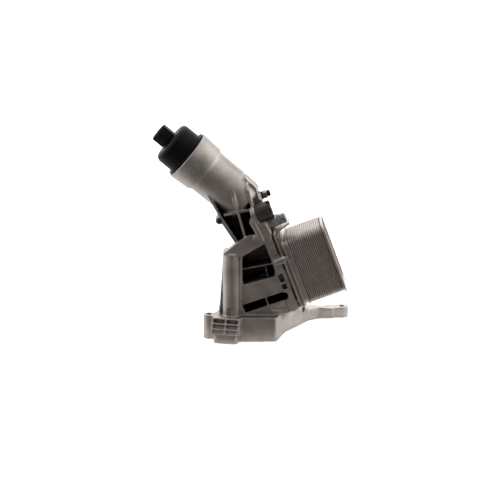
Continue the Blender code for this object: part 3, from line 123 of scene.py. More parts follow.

# Painted shade: its pockets fall to a dark brown over 30 mm, and each inside corner darkens
# once more over its last 6 mm, as shade falls there.
recess_shade_ao = add(tree, "ShaderNodeAmbientOcclusion", {"Distance": 0.03, "samples": 8, "only_local": True})
depth = add(tree, "ShaderNodeMapRange",
            {"From Min": 0.25, "From Max": 0.8, "To Min": 0.0, "To Max": 1.0},
            {"Value": recess_shade_ao.outputs["AO"]})
# Painted shade: the dark brown that the pockets fall to.
skin = add(tree, "ShaderNodeMix", {"data_type": 'RGBA', "A": linear("#2b2827")},
           {"Factor": depth.outputs["Result"], "B": spread.outputs["Vector"]})
# Painted shade again, in each inside corner.
corner = add(tree, "ShaderNodeAmbientOcclusion",
             {"Distance": 0.006, "samples": 8, "only_local": True})
corner_depth = add(tree, "ShaderNodeMapRange",
                   {"From Min": 0.3, "From Max": 0.75, "To Min": 0.35, "To Max": 1.0},
                   {"Value": corner.outputs["AO"]})
shade_painted_skin = add(tree, "ShaderNodeVectorMath", {"operation": 'SCALE'},
             {0: skin.outputs["Result"], "Scale": corner_depth.outputs["Result"]})
tree.links.new(shade_painted_skin.outputs["Vector"], shader.inputs["Base Color"])
rough = add(tree, "ShaderNodeMapRange", {"To Min": 0.44, "To Max": 0.62}, {"Value": clouds.outputs["Fac"]})
tree.links.new(rough.outputs["Result"], shader.inputs["Roughness"])
grain = add(tree, "ShaderNodeTexNoise", {"Scale": per_mm(0.7), "Detail": 3.0}, {"Vector": place})
bump = add(tree, "ShaderNodeBump", {"Strength": 0.25, "Distance": 0.0003}, {"Height": grain.outputs["Fac"]})
tree.links.new(bump.outputs["Normal"], shader.inputs["Normal"])


def as_object(bm, name):
    """An object of this name made from a bmesh, which is then freed."""
    mesh = bpy.data.meshes.new(name)
    bm.to_mesh(mesh)
    bm.free()
    thing = bpy.data.objects.new(name, mesh)
    bpy.context.scene.collection.objects.link(thing)
    return thing


def finish_piece(bm, name, mat, body, nodes=(), smooth_angle=40):
    """Turns a bmesh in metres into a finished piece that rides on a body, or on none yet."""
    piece = as_object(bm, name)
    piece.data.validate()
    piece.data.materials.append(mat)
    piece.data.shade_smooth()
    if smooth_angle:
        piece.data.set_sharp_from_angle(angle=math.radians(smooth_angle))
    if body:
        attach(piece, body)
    if nodes:
        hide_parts(*nodes)
    return piece


def cad_copy(node):
    """A copy of a CAD node's mesh, with its loose triangles joined."""
    bm = bmesh.new()
    bm.from_mesh(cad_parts[node].data)
    bmesh.ops.remove_doubles(bm, verts=bm.verts, dist=4 * WELD * MM)
    return bm


# The voxels and the smoothing round every edge of the casting as its mould does.
blank = as_object(cad_copy("housing"), "casting_blank")
skin_mod = blank.modifiers.new("cast_skin", 'REMESH')
skin_mod.mode = 'VOXEL'
skin_mod.voxel_size = CAST_VOXEL
soft = blank.modifiers.new("soft_edges", 'SMOOTH')
soft.factor = 0.5
soft.iterations = 3
graph = bpy.context.evaluated_depsgraph_get()
tris = sum(len(p.vertices) - 2 for p in blank.evaluated_get(graph).data.polygons)
fewer = blank.modifiers.new("fewer", 'DECIMATE')
fewer.ratio = min(1.0, CAST_MOST_TRIS / tris)
graph = bpy.context.evaluated_depsgraph_get()
casting = bmesh.new()
casting.from_mesh(blank.evaluated_get(graph).data)
bpy.data.objects.remove(blank, do_unlink=True)

# BOWL stands on the middle of the bowl's rim, with Z out along the bowl's axis. SEAT is turned
# as the face that the cooler is bolted to, with X down the face and Z out of it.
BOWL_LEAN = math.radians(40.0)
RIM = Vector((-135.193, -25.0, 283.049))
bowl_out = Vector((-math.cos(BOWL_LEAN), 0, math.sin(BOWL_LEAN)))
bowl_up = Vector((math.sin(BOWL_LEAN), 0, math.cos(BOWL_LEAN)))
BOWL = Matrix.Translation(RIM) @ Matrix((bowl_up, bowl_out.cross(bowl_up), bowl_out)).transposed().to_4x4()
SEAT_TILT = math.radians(20.5)
face_out = Vector((math.cos(SEAT_TILT), 0, math.sin(SEAT_TILT)))
face_down = Vector((math.sin(SEAT_TILT), 0, -math.cos(SEAT_TILT)))
SEAT = Matrix((face_down, face_out.cross(face_down), face_out)).transposed().to_4x4()
UPRIGHT = Matrix.Identity(4)

# Where the bolts, the bypass valve and the notched cover go into the casting, in SEAT.
BOLTS = [(-118.0, -64.4), (-171.0, -19.0), (-124.0, 28.4), (-46.0, 28.4)]
BYPASS = (-176.0, -50.0)
COVER = (-198.0, -58.0)


def trued(bm, matrix, sides, profile, x=0.0, y=0.0):
    """Takes the flats out of a turned surface, whose (height, radius) points run upward."""
    reach, fade = 0.9, 0.5  # skin further than the reach from the true radius stays
    place = Matrix.Scale(MM, 4) @ matrix
    back = place.inverted()
    step = 2 * math.pi / sides
    for v in bm.verts:
        p = back @ v.co
        if not profile[0][0] < p.z < profile[-1][0]:
            continue
        low, high = [(a, b) for a, b in zip(profile, profile[1:]) if a[0] <= p.z <= b[0]][0]
        true_r = low[1] + (high[1] - low[1]) * (p.z - low[0]) / (high[0] - low[0])
        near = min(1.0, (reach - abs(math.hypot(p.x - x, p.y - y) - true_r)) / fade)
        if near > 0:
            off = math.atan2(p.y - y, p.x - x) % step - step / 2
            push = 1 + near * (math.cos(off) / math.cos(step / 2) - 1)
            v.co = place @ Vector((x + (p.x - x) * push, y + (p.y - y) * push, p.z))


BOWL_WALL = [(-117.9, 24.8), (-116.8, 29.5), (-113.0, 33.1), (-106.0, 34.5), (-37.2, 35.5),
             (-33.8, 38.5), (0.6, 40.5)]
trued(casting, BOWL, 32, BOWL_WALL)

# What else is round, as frame, sides, radius, foot, top, x and y: the four ears, the pillar and
# the bosses of the bypass valve, of the notched cover and of the four bolts.
bosses = ([(UPRIGHT, 20, 8.8, -0.6, 38.6, -102.8, -46.6), (UPRIGHT, 20, 10.5, -0.6, 17.6, 106.7, 58.5),
           (UPRIGHT, 20, 10.0, -0.6, 18.6, -80.0, 60.0), (UPRIGHT, 20, 10.0, -0.6, 18.6, 22.0, 76.0),
           (UPRIGHT, 16, 13.2, 30.0, 137.5, -67.8, -51.5),
           (SEAT, 16, 9.3, 33.0, 66.6, *BYPASS), (SEAT, 16, 12.0, 33.0, 42.2, *COVER)]
          + [(SEAT, 12, 6.0, 40.0, 56.0, x, y) for x, y in BOLTS])
for matrix, sides, radius, foot, top, x, y in bosses:
    trued(casting, matrix, sides, [(foot, radius), (top, radius)], x, y)
finish_piece(casting, "cast_housing", cast, "housing", ["housing"], smooth_angle=0)

# Moulded rubber gasket, laid in the groove round the foot before the housing is bolted down.
# The port seals, the rings and the flap of the filter are moulded in the same rubber.

# Nitrile rubber: matt black, with a faint greyer bloom.
rubber, tree, shader, place = new_finish("black_rubber", Base_Color=linear("#111113"), Roughness=0.7,
                                         Specular_IOR_Level=0.25)
bloom = add(tree, "ShaderNodeTexNoise", {"Scale": per_mm(3), "Detail": 3.0}, {"Vector": place})
bloom_tone = add(tree, "ShaderNodeValToRGB", {}, {"Fac": bloom.outputs["Fac"]})
shade_stops(bloom_tone.color_ramp, [(0.35, "#0d0d0f"), (0.75, "#18181a")])
tree.links.new(bloom_tone.outputs["Color"], shader.inputs["Base Color"])


def dress(mat, *nodes):
    """Gives CAD nodes a finished material."""
    for node in nodes:
        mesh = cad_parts[node].data
        mesh.materials.clear()
        mesh.materials.append(mat)


dress(rubber, "base_gasket", "cap_o_ring", "drain_pin_o_ring", "non_return_flap", "seal_oil_in",
      "seal_oil_out", "seal_coolant_in", "seal_coolant_out", "valve_cover_o_ring")

# Filter element and the windowed core that it slides over. Resin-set paper folded in pleats
# between end caps of black glass-filled nylon; the core and its bypass valve stay in the bowl.

# Glass-filled nylon: a deep black with a thin sheen that varies from place to place. Its fibres
# are finer than a tenth of a millimetre and are drawn at 0.5 mm, so that they show up close.
nylon, tree, shader, place = new_finish("black_nylon", Base_Color=linear("#09090b"), Roughness=0.5,
                                        Specular_IOR_Level=0.07)
fibre = add(tree, "ShaderNodeTexNoise", {"Scale": per_mm(0.5), "Detail": 2.0}, {"Vector": place})
fibre_bump = add(tree, "ShaderNodeBump", {"Strength": 0.2, "Distance": 0.0002},
                 {"Height": fibre.outputs["Fac"]})
tree.links.new(fibre_bump.outputs["Normal"], shader.inputs["Normal"])
sheen = add(tree, "ShaderNodeTexNoise", {"Scale": per_mm(14), "Detail": 3.0}, {"Vector": place})
sheen_range = add(tree, "ShaderNodeMapRange", {"To Min": 0.42, "To Max": 0.58},
                  {"Value": sheen.outputs["Fac"]})
tree.links.new(sheen_range.outputs["Result"], shader.inputs["Roughness"])
dress(nylon, "filter_end_cap_upper", "filter_end_cap_lower", "support_core", "filter_bypass_disc",
      "filter_bypass_cage")

# Filter paper: matt straw yellow, mottled by its long fibres.
paper, tree, shader, place = new_finish("filter_paper", Base_Color=linear("#d8c187"), Roughness=0.9)
fibres = add(tree, "ShaderNodeTexNoise", {"Scale": per_mm(1.2), "Detail": 5.0}, {"Vector": place})
paper_tone = add(tree, "ShaderNodeValToRGB", {}, {"Fac": fibres.outputs["Fac"]})
shade_stops(paper_tone.color_ramp, [(0.3, "#c9ae70"), (0.7, "#e2cf9c")])
tree.links.new(paper_tone.outputs["Color"], shader.inputs["Base Color"])
paper_bump = add(tree, "ShaderNodeBump", {"Strength": 0.3, "Distance": 0.0002},
                 {"Height": fibres.outputs["Fac"]})
tree.links.new(paper_bump.outputs["Normal"], shader.inputs["Normal"])
dress(paper, "filter_media")

# Springs of the two bypass valves, wound from drawn steel wire. One end of each stands on the
# housing's side and the other on its disc or piston.

# Spring steel: a bright grey, marked by the die that it was drawn through. The fine marks are
# drawn at 0.6 mm, so that they show up close.
wire, tree, shader, place = new_finish("spring_steel", Base_Color=linear("#9a9a98"), Metallic=1.0,
                                       Roughness=0.3)
draw_marks = add(tree, "ShaderNodeTexNoise", {"Scale": per_mm(0.6), "Detail": 2.0}, {"Vector": place})
wire_rough = add(tree, "ShaderNodeMapRange", {"To Min": 0.22, "To Max": 0.42},
                 {"Value": draw_marks.outputs["Fac"]})
tree.links.new(wire_rough.outputs["Result"], shader.inputs["Roughness"])
for node, name, matrix, (axis_x, axis_y), fixed, moving, body in (
        ("filter_bypass_spring", "disc_spring", BOWL, (0, 0), -17.6, 0.4, "filter_bypass_valve"),
        ("bypass_spring", "piston_spring", SEAT, BYPASS, 55.6, 43.6, "cooler_bypass_valve")):
    coil = finish_piece(cad_copy(node), name, wire, None, [node], 60)
    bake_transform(coil)

# Screw cap. Moulded in black glass-filled nylon: a threaded skirt, a thin flange that rests on
# the collar, a domed crown and a 27 mm hexagon. Satin, with soft grey lights round its edges.
CAP_STEPS = 96
CAP_THREAD_R, CAP_THREAD_ROOT = 34.6, 33.6
CAP_END, CAP_BORE_R, CAP_GROOVE_R = -20.0, 30.4, 31.9
CAP_ROOF, SOCKET_END, SOCKET_OUTER, SOCKET_INNER = 30.8, 21.1, 26.0, 24.0
CAP_TOP, CAP_HEX_TOP, CAP_HEX_ACROSS = 37.0, 56.0, 27.0


def into_place(bm, matrix):
    """Moves a mesh drawn in millimetres to its place on the object, in metres."""
    bmesh.ops.transform(bm, matrix=Matrix.Scale(MM, 4) @ matrix, verts=bm.verts)
    bmesh.ops.remove_doubles(bm, verts=bm.verts, dist=WELD * MM)
    bmesh.ops.recalc_face_normals(bm, faces=bm.faces)
    return bm


def spun(profile, steps, x=0.0, y=0.0):
    """A closed solid spun about Z from (radius, height) points, which end on the axis or close."""
    bm = bmesh.new()
    points = [bm.verts.new((r, 0, z)) for r, z in profile]
    for a, b in zip(points, points[1:] + points[:1]):
        if a.co.x > 0 or b.co.x > 0:
            bm.edges.new((a, b))
    bmesh.ops.spin(bm, geom=bm.verts[:] + bm.edges[:], cent=(0, 0, 0), axis=(0, 0, 1), dvec=(0, 0, 0),
                   angle=2 * math.pi, steps=steps, use_merge=True, use_duplicate=False)
    bmesh.ops.remove_doubles(bm, verts=bm.verts, dist=WELD)
    bmesh.ops.translate(bm, vec=(x, y, 0), verts=bm.verts)
    return bm


def arc(x, z, radius, start, end, steps):
    """Points of an arc in a profile, its angles in degrees."""
    angles = [math.radians(start + (end - start) * i / steps) for i in range(steps + 1)]
    return [(x + radius * math.cos(a), z + radius * math.sin(a)) for a in angles]


def thread(root, crest, start, pitch, turns, rises):
    """Points of a thread in a profile, drawn as rings, each up to its crest and back to its root."""
    return [(radius, start + pitch * turn + rise) for turn in range(turns)
            for radius, rise in zip((root, crest, crest, root), rises)]


def hexagon_head(low, high, across, bevel, dish, x=0.0, y=0.0):
    """A hexagon with rounded edges and a shallow dish in its top, as a head is forged or moulded."""
    bm = bmesh.new()
    corner_r = across / 2 / math.cos(math.pi / 6)
    bmesh.ops.create_cone(bm, cap_ends=True, cap_tris=False, segments=6, radius1=corner_r,
                          radius2=corner_r, depth=high - low)
    bmesh.ops.translate(bm, vec=(0, 0, (low + high) / 2), verts=bm.verts)
    edges = [e for e in bm.edges if abs(e.verts[0].co.z - e.verts[1].co.z) > 0.5 * (high - low)]
    rims = [e for e in bm.edges if all(v.co.z > high - 0.01 for v in e.verts)]
    bmesh.ops.bevel(bm, geom=edges + rims, offset=bevel, offset_type='OFFSET', segments=3, profile=0.5,
                    affect='EDGES', material=-1, clamp_overlap=True)
    top = max(bm.faces, key=lambda f: f.calc_center_median().z)
    bmesh.ops.inset_region(bm, faces=[top], thickness=dish, depth=0.0)
    bmesh.ops.translate(bm, vec=(0, 0, -dish * 0.5), verts=top.verts)
    bmesh.ops.translate(bm, vec=(x, y, 0), verts=bm.verts)
    return bm


def joined(first, second):
    """Two bmeshes as one."""
    spare = bpy.data.meshes.new("spare")
    second.to_mesh(spare)
    second.free()
    first.from_mesh(spare)
    bpy.data.meshes.remove(spare)
    return first


cap_outside = ([(0, CAP_TOP), (12.6, CAP_TOP)] + arc(12.6, 36.4, 0.6, 90, 0, 3)
               + [(13.2, 34.6), (13.8, 34.0)] + arc(25.3, 26.0, 8.0, 90, 0, 10)
               + [(33.5, 4.9), (33.9, 3.6)] + arc(37.9, 2.8, 0.6, 90, 0, 3)
               + [(38.5, 0.3), (CAP_THREAD_R, 0.3)])
ring_groove = [(CAP_THREAD_R, -1.7), (CAP_GROOVE_R, -1.7), (CAP_GROOVE_R, -4.7), (CAP_THREAD_R, -4.7)]
cap_thread = thread(CAP_THREAD_ROOT, CAP_THREAD_R, -6.0, -3.0, 4, (0.0, -0.9, -1.5, -2.4))
cap_inside = [(34.0, -19.6), (CAP_THREAD_ROOT, CAP_END), (CAP_BORE_R, CAP_END), (CAP_BORE_R, 16.0),
              (29.4, CAP_ROOF), (SOCKET_OUTER, CAP_ROOF), (SOCKET_OUTER, SOCKET_END),
              (SOCKET_INNER, SOCKET_END), (SOCKET_INNER, CAP_ROOF), (0, CAP_ROOF)]
cap = joined(spun(cap_outside + ring_groove + cap_thread + cap_inside, CAP_STEPS),
             hexagon_head(CAP_TOP - 0.6, CAP_HEX_TOP, CAP_HEX_ACROSS, bevel=0.9, dish=3.0))
finish_piece(into_place(cap, BOWL), "screw_cap_moulding", nylon, "screw_cap",
             ["filter_cap"], 38)

# Brazed plate cooler. Stamped aluminium plates with flared lips, stacked on a thick spacer, a
# pressed tray and a base plate, and brazed in a furnace; the lips catch the light as fine lines.
STACK_TOP, STACK_BOTTOM = -144.5, -33.0
STACK_NEAR, STACK_FAR = -57.0, 21.0
CORNER_R, CORNER_STEPS = 12.6, 7
PLATES, PLATE_PITCH = 17, 3.15
STACK_N, END_N = 69.8, 123.65
ROOT = -1.7

# Brazed aluminium: smoother than the casting, stained in soft patches by the furnace, with
# painted shade in the grooves between the lips. Its fine pits are drawn at 0.8 mm, so that they show.
brazed, tree, shader, place = new_finish("brazed_aluminium", Metallic=1.0, Roughness=0.36)
stain = add(tree, "ShaderNodeTexNoise", {"Scale": per_mm(9), "Detail": 5.0, "Roughness": 0.65},
            {"Vector": place})
stain_tone = add(tree, "ShaderNodeValToRGB", {}, {"Fac": stain.outputs["Fac"]})
shade_stops(stain_tone.color_ramp, [(0.28, "#9a918c"), (0.55, "#a59d98"), (0.8, "#b0aaa6")])
# Painted shade: the grooves between the lips darken to a brown grey.
groove_shade_ao = add(tree, "ShaderNodeAmbientOcclusion", {"Distance": 0.0035, "samples": 8})
groove_shade_depth = add(tree, "ShaderNodeMapRange", {"From Min": 0.25, "From Max": 0.75},
                   {"Value": groove_shade_ao.outputs["AO"]})
brazed_skin = add(tree, "ShaderNodeMix", {"data_type": 'RGBA', "A": linear("#766c67")},
                  {"Factor": groove_shade_depth.outputs["Result"], "B": stain_tone.outputs["Color"]})
tree.links.new(brazed_skin.outputs["Result"], shader.inputs["Base Color"])
brazed_rough = add(tree, "ShaderNodeMapRange", {"To Min": 0.38, "To Max": 0.5},
                   {"Value": stain.outputs["Fac"]})
tree.links.new(brazed_rough.outputs["Result"], shader.inputs["Roughness"])
pits = add(tree, "ShaderNodeTexNoise", {"Scale": per_mm(0.8), "Detail": 2.0}, {"Vector": place})
brazed_bump = add(tree, "ShaderNodeBump", {"Strength": 0.15, "Distance": 0.0002},
                  {"Height": pits.outputs["Fac"]})
tree.links.new(brazed_bump.outputs["Normal"], shader.inputs["Normal"])


def plate_outline(bm, grow, n):
    """The edge loop of the cooler's rounded outline, grown or shrunk all round, at a height."""
    low_u, high_u = STACK_TOP - grow, STACK_BOTTOM + grow
    low_y, high_y = STACK_NEAR - grow, STACK_FAR + grow
    before = set(bm.faces)
    corners = [bm.verts.new((u, y, n)) for u, y in
               ((low_u, low_y), (high_u, low_y), (high_u, high_y), (low_u, high_y))]
    bm.faces.new(corners)
    bmesh.ops.bevel(bm, geom=corners, offset=CORNER_R + grow, offset_type='OFFSET',
                    segments=CORNER_STEPS, profile=0.5, affect='VERTICES', material=-1)
    face = [f for f in bm.faces if f not in before][0]
    edges = face.edges[:]
    bmesh.ops.delete(bm, geom=[face], context='FACES_ONLY')
    return edges


def skinned(levels):
    """A solid bridged over (grow, height) outlines, closed at both ends."""
    bm = bmesh.new()
    loops = [plate_outline(bm, grow, n) for grow, n in levels]
    for low, high in zip(loops, loops[1:]):
        bmesh.ops.bridge_loops(bm, edges=low + high)
    for loop in (loops[0], loops[-1]):
        bmesh.ops.contextual_create(bm, geom=loop)
    return bm


lip = [(ROOT, 0.0), (ROOT, 0.5), (-0.8, 1.1), (-0.2, 1.5), (0.05, 1.95), (0.05, 2.4), (-0.15, 2.65),
       (-0.7, 2.75), (ROOT, 2.6)]
stack = skinned([(grow, STACK_N + PLATE_PITCH * k + rise) for k in range(PLATES) for grow, rise in lip])
finish_piece(into_place(stack, SEAT), "pressed_plates", brazed, "housing",
             ["cooler_plates"], 50)
end_dish = [(ROOT, 0.0), (ROOT, 0.3), (-0.6, 0.8), (0.3, 1.2), (0.9, 2.0), (1.1, 3.2), (1.3, 4.7),
            (1.1, 5.0), (0.6, 5.0), (0.4, 4.7), (0.2, 1.7), (-0.3, 1.0), (-1.4, 0.8), (-4.6, 0.8)]
end = skinned([(grow, END_N + rise) for grow, rise in end_dish])
finish_piece(into_place(end, SEAT), "brazed_end_plate", brazed, "housing",
             ["cooler_end_plate"], 50)


def softened(node, name, width, mat):
    """A copy of one of the housing's CAD nodes, with its sharp edges rounded."""
    sharp_angle = math.radians(35)
    bm = cad_copy(node)
    bmesh.ops.dissolve_limit(bm, angle_limit=math.radians(1), verts=bm.verts, edges=bm.edges)
    sharp = [e for e in bm.edges if len(e.link_faces) == 2 and e.calc_face_angle() > sharp_angle]
    bmesh.ops.bevel(bm, geom=sharp, offset=width * MM, offset_type='OFFSET', segments=2, profile=0.5,
                    affect='EDGES', material=-1, clamp_overlap=True)
    return finish_piece(bm, name, mat, "housing", [node], 50)


softened("cooler_base_plate", "brazed_base_plate", 0.5, brazed)
softened("cooler_tray", "pressed_tray", 0.3, brazed)
softened("cooler_spacer", "brazed_spacer", 0.3, brazed)

# Four flange bolts hold the cooler on its seat. Cold-headed steel, zinc plated, with a washer
# flange rolled into the head and a shallow dish in its top.
BOLT_SEAT, BOLT_LENGTH = 57.6, 13.0
BOLT_R, BOLT_ROOT, BOLT_FLANGE_R, BOLT_ACROSS = 2.9, 2.45, 5.2, 8.0

# Zinc-plated steel: a cool blue-grey beside the warm castings, clouded by the plating bath.
zinc, tree, shader, place = new_finish("zinc_plated_steel", Base_Color=linear("#71767d"), Metallic=1.0,
                                       Roughness=0.34)
plating = add(tree, "ShaderNodeTexNoise", {"Scale": per_mm(4), "Detail": 4.0}, {"Vector": place})
plating_tone = add(tree, "ShaderNodeValToRGB", {}, {"Fac": plating.outputs["Fac"]})
shade_stops(plating_tone.color_ramp, [(0.3, "#64686c"), (0.7, "#868a8d")])
tree.links.new(plating_tone.outputs["Color"], shader.inputs["Base Color"])
plating_rough = add(tree, "ShaderNodeMapRange", {"To Min": 0.26, "To Max": 0.44},
                    {"Value": plating.outputs["Fac"]})
tree.links.new(plating_rough.outputs["Result"], shader.inputs["Roughness"])

bolt_tip = BOLT_SEAT - BOLT_LENGTH
bolt_thread = thread(BOLT_ROOT, BOLT_R, bolt_tip + 1.2, 1.0, 10, (0.0, 0.45, 0.55, 0.95))
bolt_profile = ([(0, bolt_tip), (1.9, bolt_tip)] + bolt_thread
                + [(BOLT_R, BOLT_SEAT - 1.4), (BOLT_R, BOLT_SEAT), (5.1, BOLT_SEAT),
                   (BOLT_FLANGE_R, BOLT_SEAT + 0.2), (BOLT_FLANGE_R, BOLT_SEAT + 0.9),
                   (4.7, BOLT_SEAT + 1.5), (3.9, BOLT_SEAT + 1.9), (0, BOLT_SEAT + 1.9)])
for number, (u, y) in enumerate(BOLTS, start=1):
    head = hexagon_head(BOLT_SEAT + 1.2, BOLT_SEAT + 5.5, BOLT_ACROSS, bevel=0.35, dish=1.2, x=u, y=y)
    bolt = joined(spun(bolt_profile, 32, u, y), head)
    finish_piece(into_place(bolt, SEAT), "flange_bolt_%d" % number, zinc, "housing",
                 ["cooler_bolt_%d" % number])

# Bypass valve in the lug beside the cooler: a sprung piston behind a hexagon plug, sealed by a
# soft washer. The piston and the plug are turned from steel and zinc plated.
PLUG_TIP, PLUG_SEAT = 55.9, 68.1
PLUG_R, PLUG_ROOT, PLUG_COLLAR_R, PLUG_ACROSS = 6.7, 6.0, 8.8, 15.0

# Annealed aluminium: pale and dull, with darker patches of handling.
annealed, tree, shader, place = new_finish("soft_aluminium", Metallic=1.0, Roughness=0.42)
dulled = add(tree, "ShaderNodeTexNoise", {"Scale": per_mm(3), "Detail": 4.0}, {"Vector": place})
dulled_tone = add(tree, "ShaderNodeValToRGB", {}, {"Fac": dulled.outputs["Fac"]})
shade_stops(dulled_tone.color_ramp, [(0.3, "#96928f"), (0.7, "#b3afac")])
tree.links.new(dulled_tone.outputs["Color"], shader.inputs["Base Color"])
dress(annealed, "bypass_plug_washer")
dress(zinc, "bypass_piston")
plug_thread = thread(PLUG_ROOT, PLUG_R, PLUG_TIP + 1.0, 1.5, 7, (0.0, 0.65, 0.8, 1.45))
plug_profile = ([(0, PLUG_TIP), (5.6, PLUG_TIP)] + plug_thread
                + [(PLUG_R, PLUG_SEAT), (8.7, PLUG_SEAT), (PLUG_COLLAR_R, PLUG_SEAT + 0.2),
                   (PLUG_COLLAR_R, PLUG_SEAT + 1.5), (8.5, PLUG_SEAT + 1.8), (0, PLUG_SEAT + 1.8)])
plug_head = hexagon_head(PLUG_SEAT + 1.2, PLUG_SEAT + 12.0, PLUG_ACROSS, 0.7, 1.6, *BYPASS)
plug = joined(spun(plug_profile, 40, *BYPASS), plug_head)
finish_piece(into_place(plug, SEAT), "hexagon_plug", zinc, "housing", ["bypass_plug"])

# Notched round cover above the plug, moulded and pushed into its boss, and the bleed fitting
# behind it. The fitting is zinc-plated steel, and a rubber cap closes its nipple.

# Nylon coloured dark brown: a little shinier than the cap, in faint mottled patches.
brown, tree, shader, place = new_finish("dark_nylon", Base_Color=linear("#23201f"), Roughness=0.45,
                                        Specular_IOR_Level=0.35)
mottle = add(tree, "ShaderNodeTexNoise", {"Scale": per_mm(5), "Detail": 3.0}, {"Vector": place})
mottle_range = add(tree, "ShaderNodeMapRange", {"To Min": 0.38, "To Max": 0.56},
                   {"Value": mottle.outputs["Fac"]})
tree.links.new(mottle_range.outputs["Result"], shader.inputs["Roughness"])
softened("valve_cover", "notched_cover", 0.6, brown)
softened("bleed_screw", "bleed_fitting", 0.25, zinc)
softened("bleed_screw_washer", "bleed_ring", 0.3, rubber)
softened("bleed_cap", "bleed_rubber_cap", 0.4, rubber)

# Ball plug that closes the drilled channel at the neck's left edge: a small ball with a black
# rubber coat, pressed in once the channel is drilled and washed.
softened("channel_plug", "ball_plug", 0.3, rubber)

# Inspection paint: one small dab of green lacquer on the collar, put on by hand after the
# leak test. It dries to a low dome, glossier than the casting and with an uneven edge.
green, tree, shader, place = new_finish("green_lacquer", Base_Color=linear("#1f6b4a"), Roughness=0.35)
lacquer = add(tree, "ShaderNodeTexNoise", {"Scale": per_mm(1.5), "Detail": 2.0}, {"Vector": place})
lacquer_tone = add(tree, "ShaderNodeValToRGB", {}, {"Fac": lacquer.outputs["Fac"]})
shade_stops(lacquer_tone.color_ramp, [(0.3, "#185a3d"), (0.7, "#2a7d58")])
tree.links.new(lacquer_tone.outputs["Color"], shader.inputs["Base Color"])
DAB_TURN, DAB_R, DAB_Z = math.radians(-102.2), 39.5, -17.2
dab = bmesh.new()
bmesh.ops.create_icosphere(dab, subdivisions=3, radius=1.0)
for v in dab.verts:
    lobe = 1.0 + 0.12 * math.sin(3 * math.atan2(v.co.z, v.co.y) + 0.8)
    v.co = Vector((0.3 * v.co.x, 2.0 * lobe * v.co.y, 2.2 * lobe * v.co.z))
on_collar = BOWL @ Matrix.Rotation(DAB_TURN, 4, 'Z') @ Matrix.Translation((DAB_R, 0, DAB_Z))
finish_piece(into_place(dab, on_collar), "paint_dab", green, "housing", (), 0)

# Studio: a white floor in a white room, with a soft box on each side, one behind and a large one
# overhead. Floor and room are brighter to the eye than as lights, so the object keeps its shading.
FLOOR_HALF, FLOOR_GLOW = 12.0, 0.6
ROOM_LIGHT, ROOM_SEEN = 0.5, 1.0


def seen_itself(tree):
    """1 for the rays that show a thing itself, straight, in a shine or through glass, and else 0."""
    path = add(tree, "ShaderNodeLightPath")
    seen = add(tree, "ShaderNodeMath", {"operation": 'MAXIMUM'},
               {0: path.outputs["Is Camera Ray"], 1: path.outputs["Is Glossy Ray"]})
    seen_all = add(tree, "ShaderNodeMath", {"operation": 'MAXIMUM'},
                   {0: seen.outputs["Value"], 1: path.outputs["Is Transmission Ray"]})
    return seen_all.outputs["Value"]


bm = bmesh.new()
bmesh.ops.create_grid(bm, x_segments=1, y_segments=1, size=FLOOR_HALF)
floor = as_object(bm, "floor")
paper_floor, tree, shader = new_material("white_floor", Base_Color=linear("#f4f3f2"), Roughness=0.9,
                                         Emission_Color=(1, 1, 1, 1))
glow = add(tree, "ShaderNodeMath", {"operation": 'MULTIPLY', 1: FLOOR_GLOW}, {0: seen_itself(tree)})
tree.links.new(glow.outputs["Value"], shader.inputs["Emission Strength"])
floor.data.materials.append(paper_floor)

world = bpy.data.worlds.new("studio")
bpy.context.scene.world = world
world.use_nodes = True
tree = world.node_tree
background = tree.nodes["Background"]
background.inputs["Color"].default_value = (1, 1, 1, 1)
strength = add(tree, "ShaderNodeMapRange", {"To Min": ROOM_LIGHT, "To Max": ROOM_SEEN},
               {"Value": seen_itself(tree)})
tree.links.new(strength.outputs["Result"], background.inputs["Strength"])

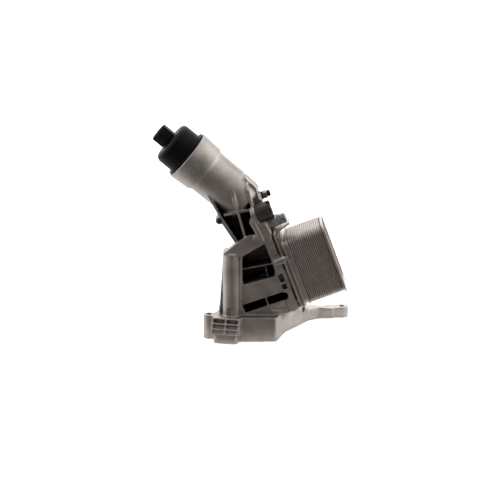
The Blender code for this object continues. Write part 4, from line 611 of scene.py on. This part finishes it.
# A card lies on the floor in front, grey near the object and dark further out, and stands up at
# its far end. Only shines show it: it keeps the cap and the fronts of the casting deep.
CARD_LEFT, CARD_RIGHT, CARD_START, CARD_LIFT = -1.1, 1.0, -0.09, 0.001
GREY_DEEP, DARK_DEEP, CARD_TALL = 0.5, 1.04, 1.6
bm = bmesh.new()
edge = bm.edges.new([bm.verts.new((x, CARD_START, CARD_LIFT)) for x in (CARD_LEFT, CARD_RIGHT)])
for slot, step in ((0, (0, -GREY_DEEP, 0)), (1, (0, -DARK_DEEP, 0)), (1, (0, 0, CARD_TALL))):
    new = bmesh.ops.extrude_edge_only(bm, edges=[edge])["geom"]
    [g for g in new if isinstance(g, bmesh.types.BMFace)][0].material_index = slot
    bmesh.ops.translate(bm, vec=step, verts=[g for g in new if isinstance(g, bmesh.types.BMVert)])
    edge = [g for g in new if isinstance(g, bmesh.types.BMEdge)][0]
card = as_object(bm, "front_card")
card.visible_camera = False
card.visible_diffuse = False
card.visible_shadow = False
for name, code in (("grey_card", "#8a8481"), ("dark_card", "#403d3b")):
    card.data.materials.append(new_material(name, Base_Color=linear(code), Roughness=1.0)[0])

LAMPS_AIM = Vector((-0.02, 0, 0.14))
for name, spot, size, power in (("left_softbox", (-1.7, 0.5, 0.9), 1.3, 16),
                                ("right_softbox", (1.8, 0.3, 0.7), 1.4, 22),
                                ("overhead_softbox", (0.1, 0.5, 2.0), 1.8, 24),
                                ("back_softbox", (0.0, 1.9, 0.75), 1.8, 20)):
    lamp = bpy.data.lights.new(name, 'AREA')
    lamp.shape = 'SQUARE'
    lamp.size = size
    lamp.energy = power
    box = bpy.data.objects.new(name, lamp)
    bpy.context.scene.collection.objects.link(box)
    box.location = spot
    box.rotation_euler = (LAMPS_AIM - Vector(spot)).to_track_quat('-Z', 'Y').to_euler()

# Camera: 2.6 m away and looking 16 degrees down, as the photograph seems to have been taken.
VIEW_DIRECTION = Vector((0, 0.96126, -0.27564))
lens = bpy.data.cameras.new("camera")
lens.lens = 120.8
lens.sensor_width = 36.0
camera = bpy.data.objects.new("camera", lens)
bpy.context.scene.collection.objects.link(camera)
camera.location = (-0.040, -2.4993, 0.8431)
camera.rotation_euler = VIEW_DIRECTION.to_track_quat('-Z', 'Y').to_euler()
bpy.context.scene.camera = camera
bpy.context.scene.view_settings.view_transform = 'Standard'
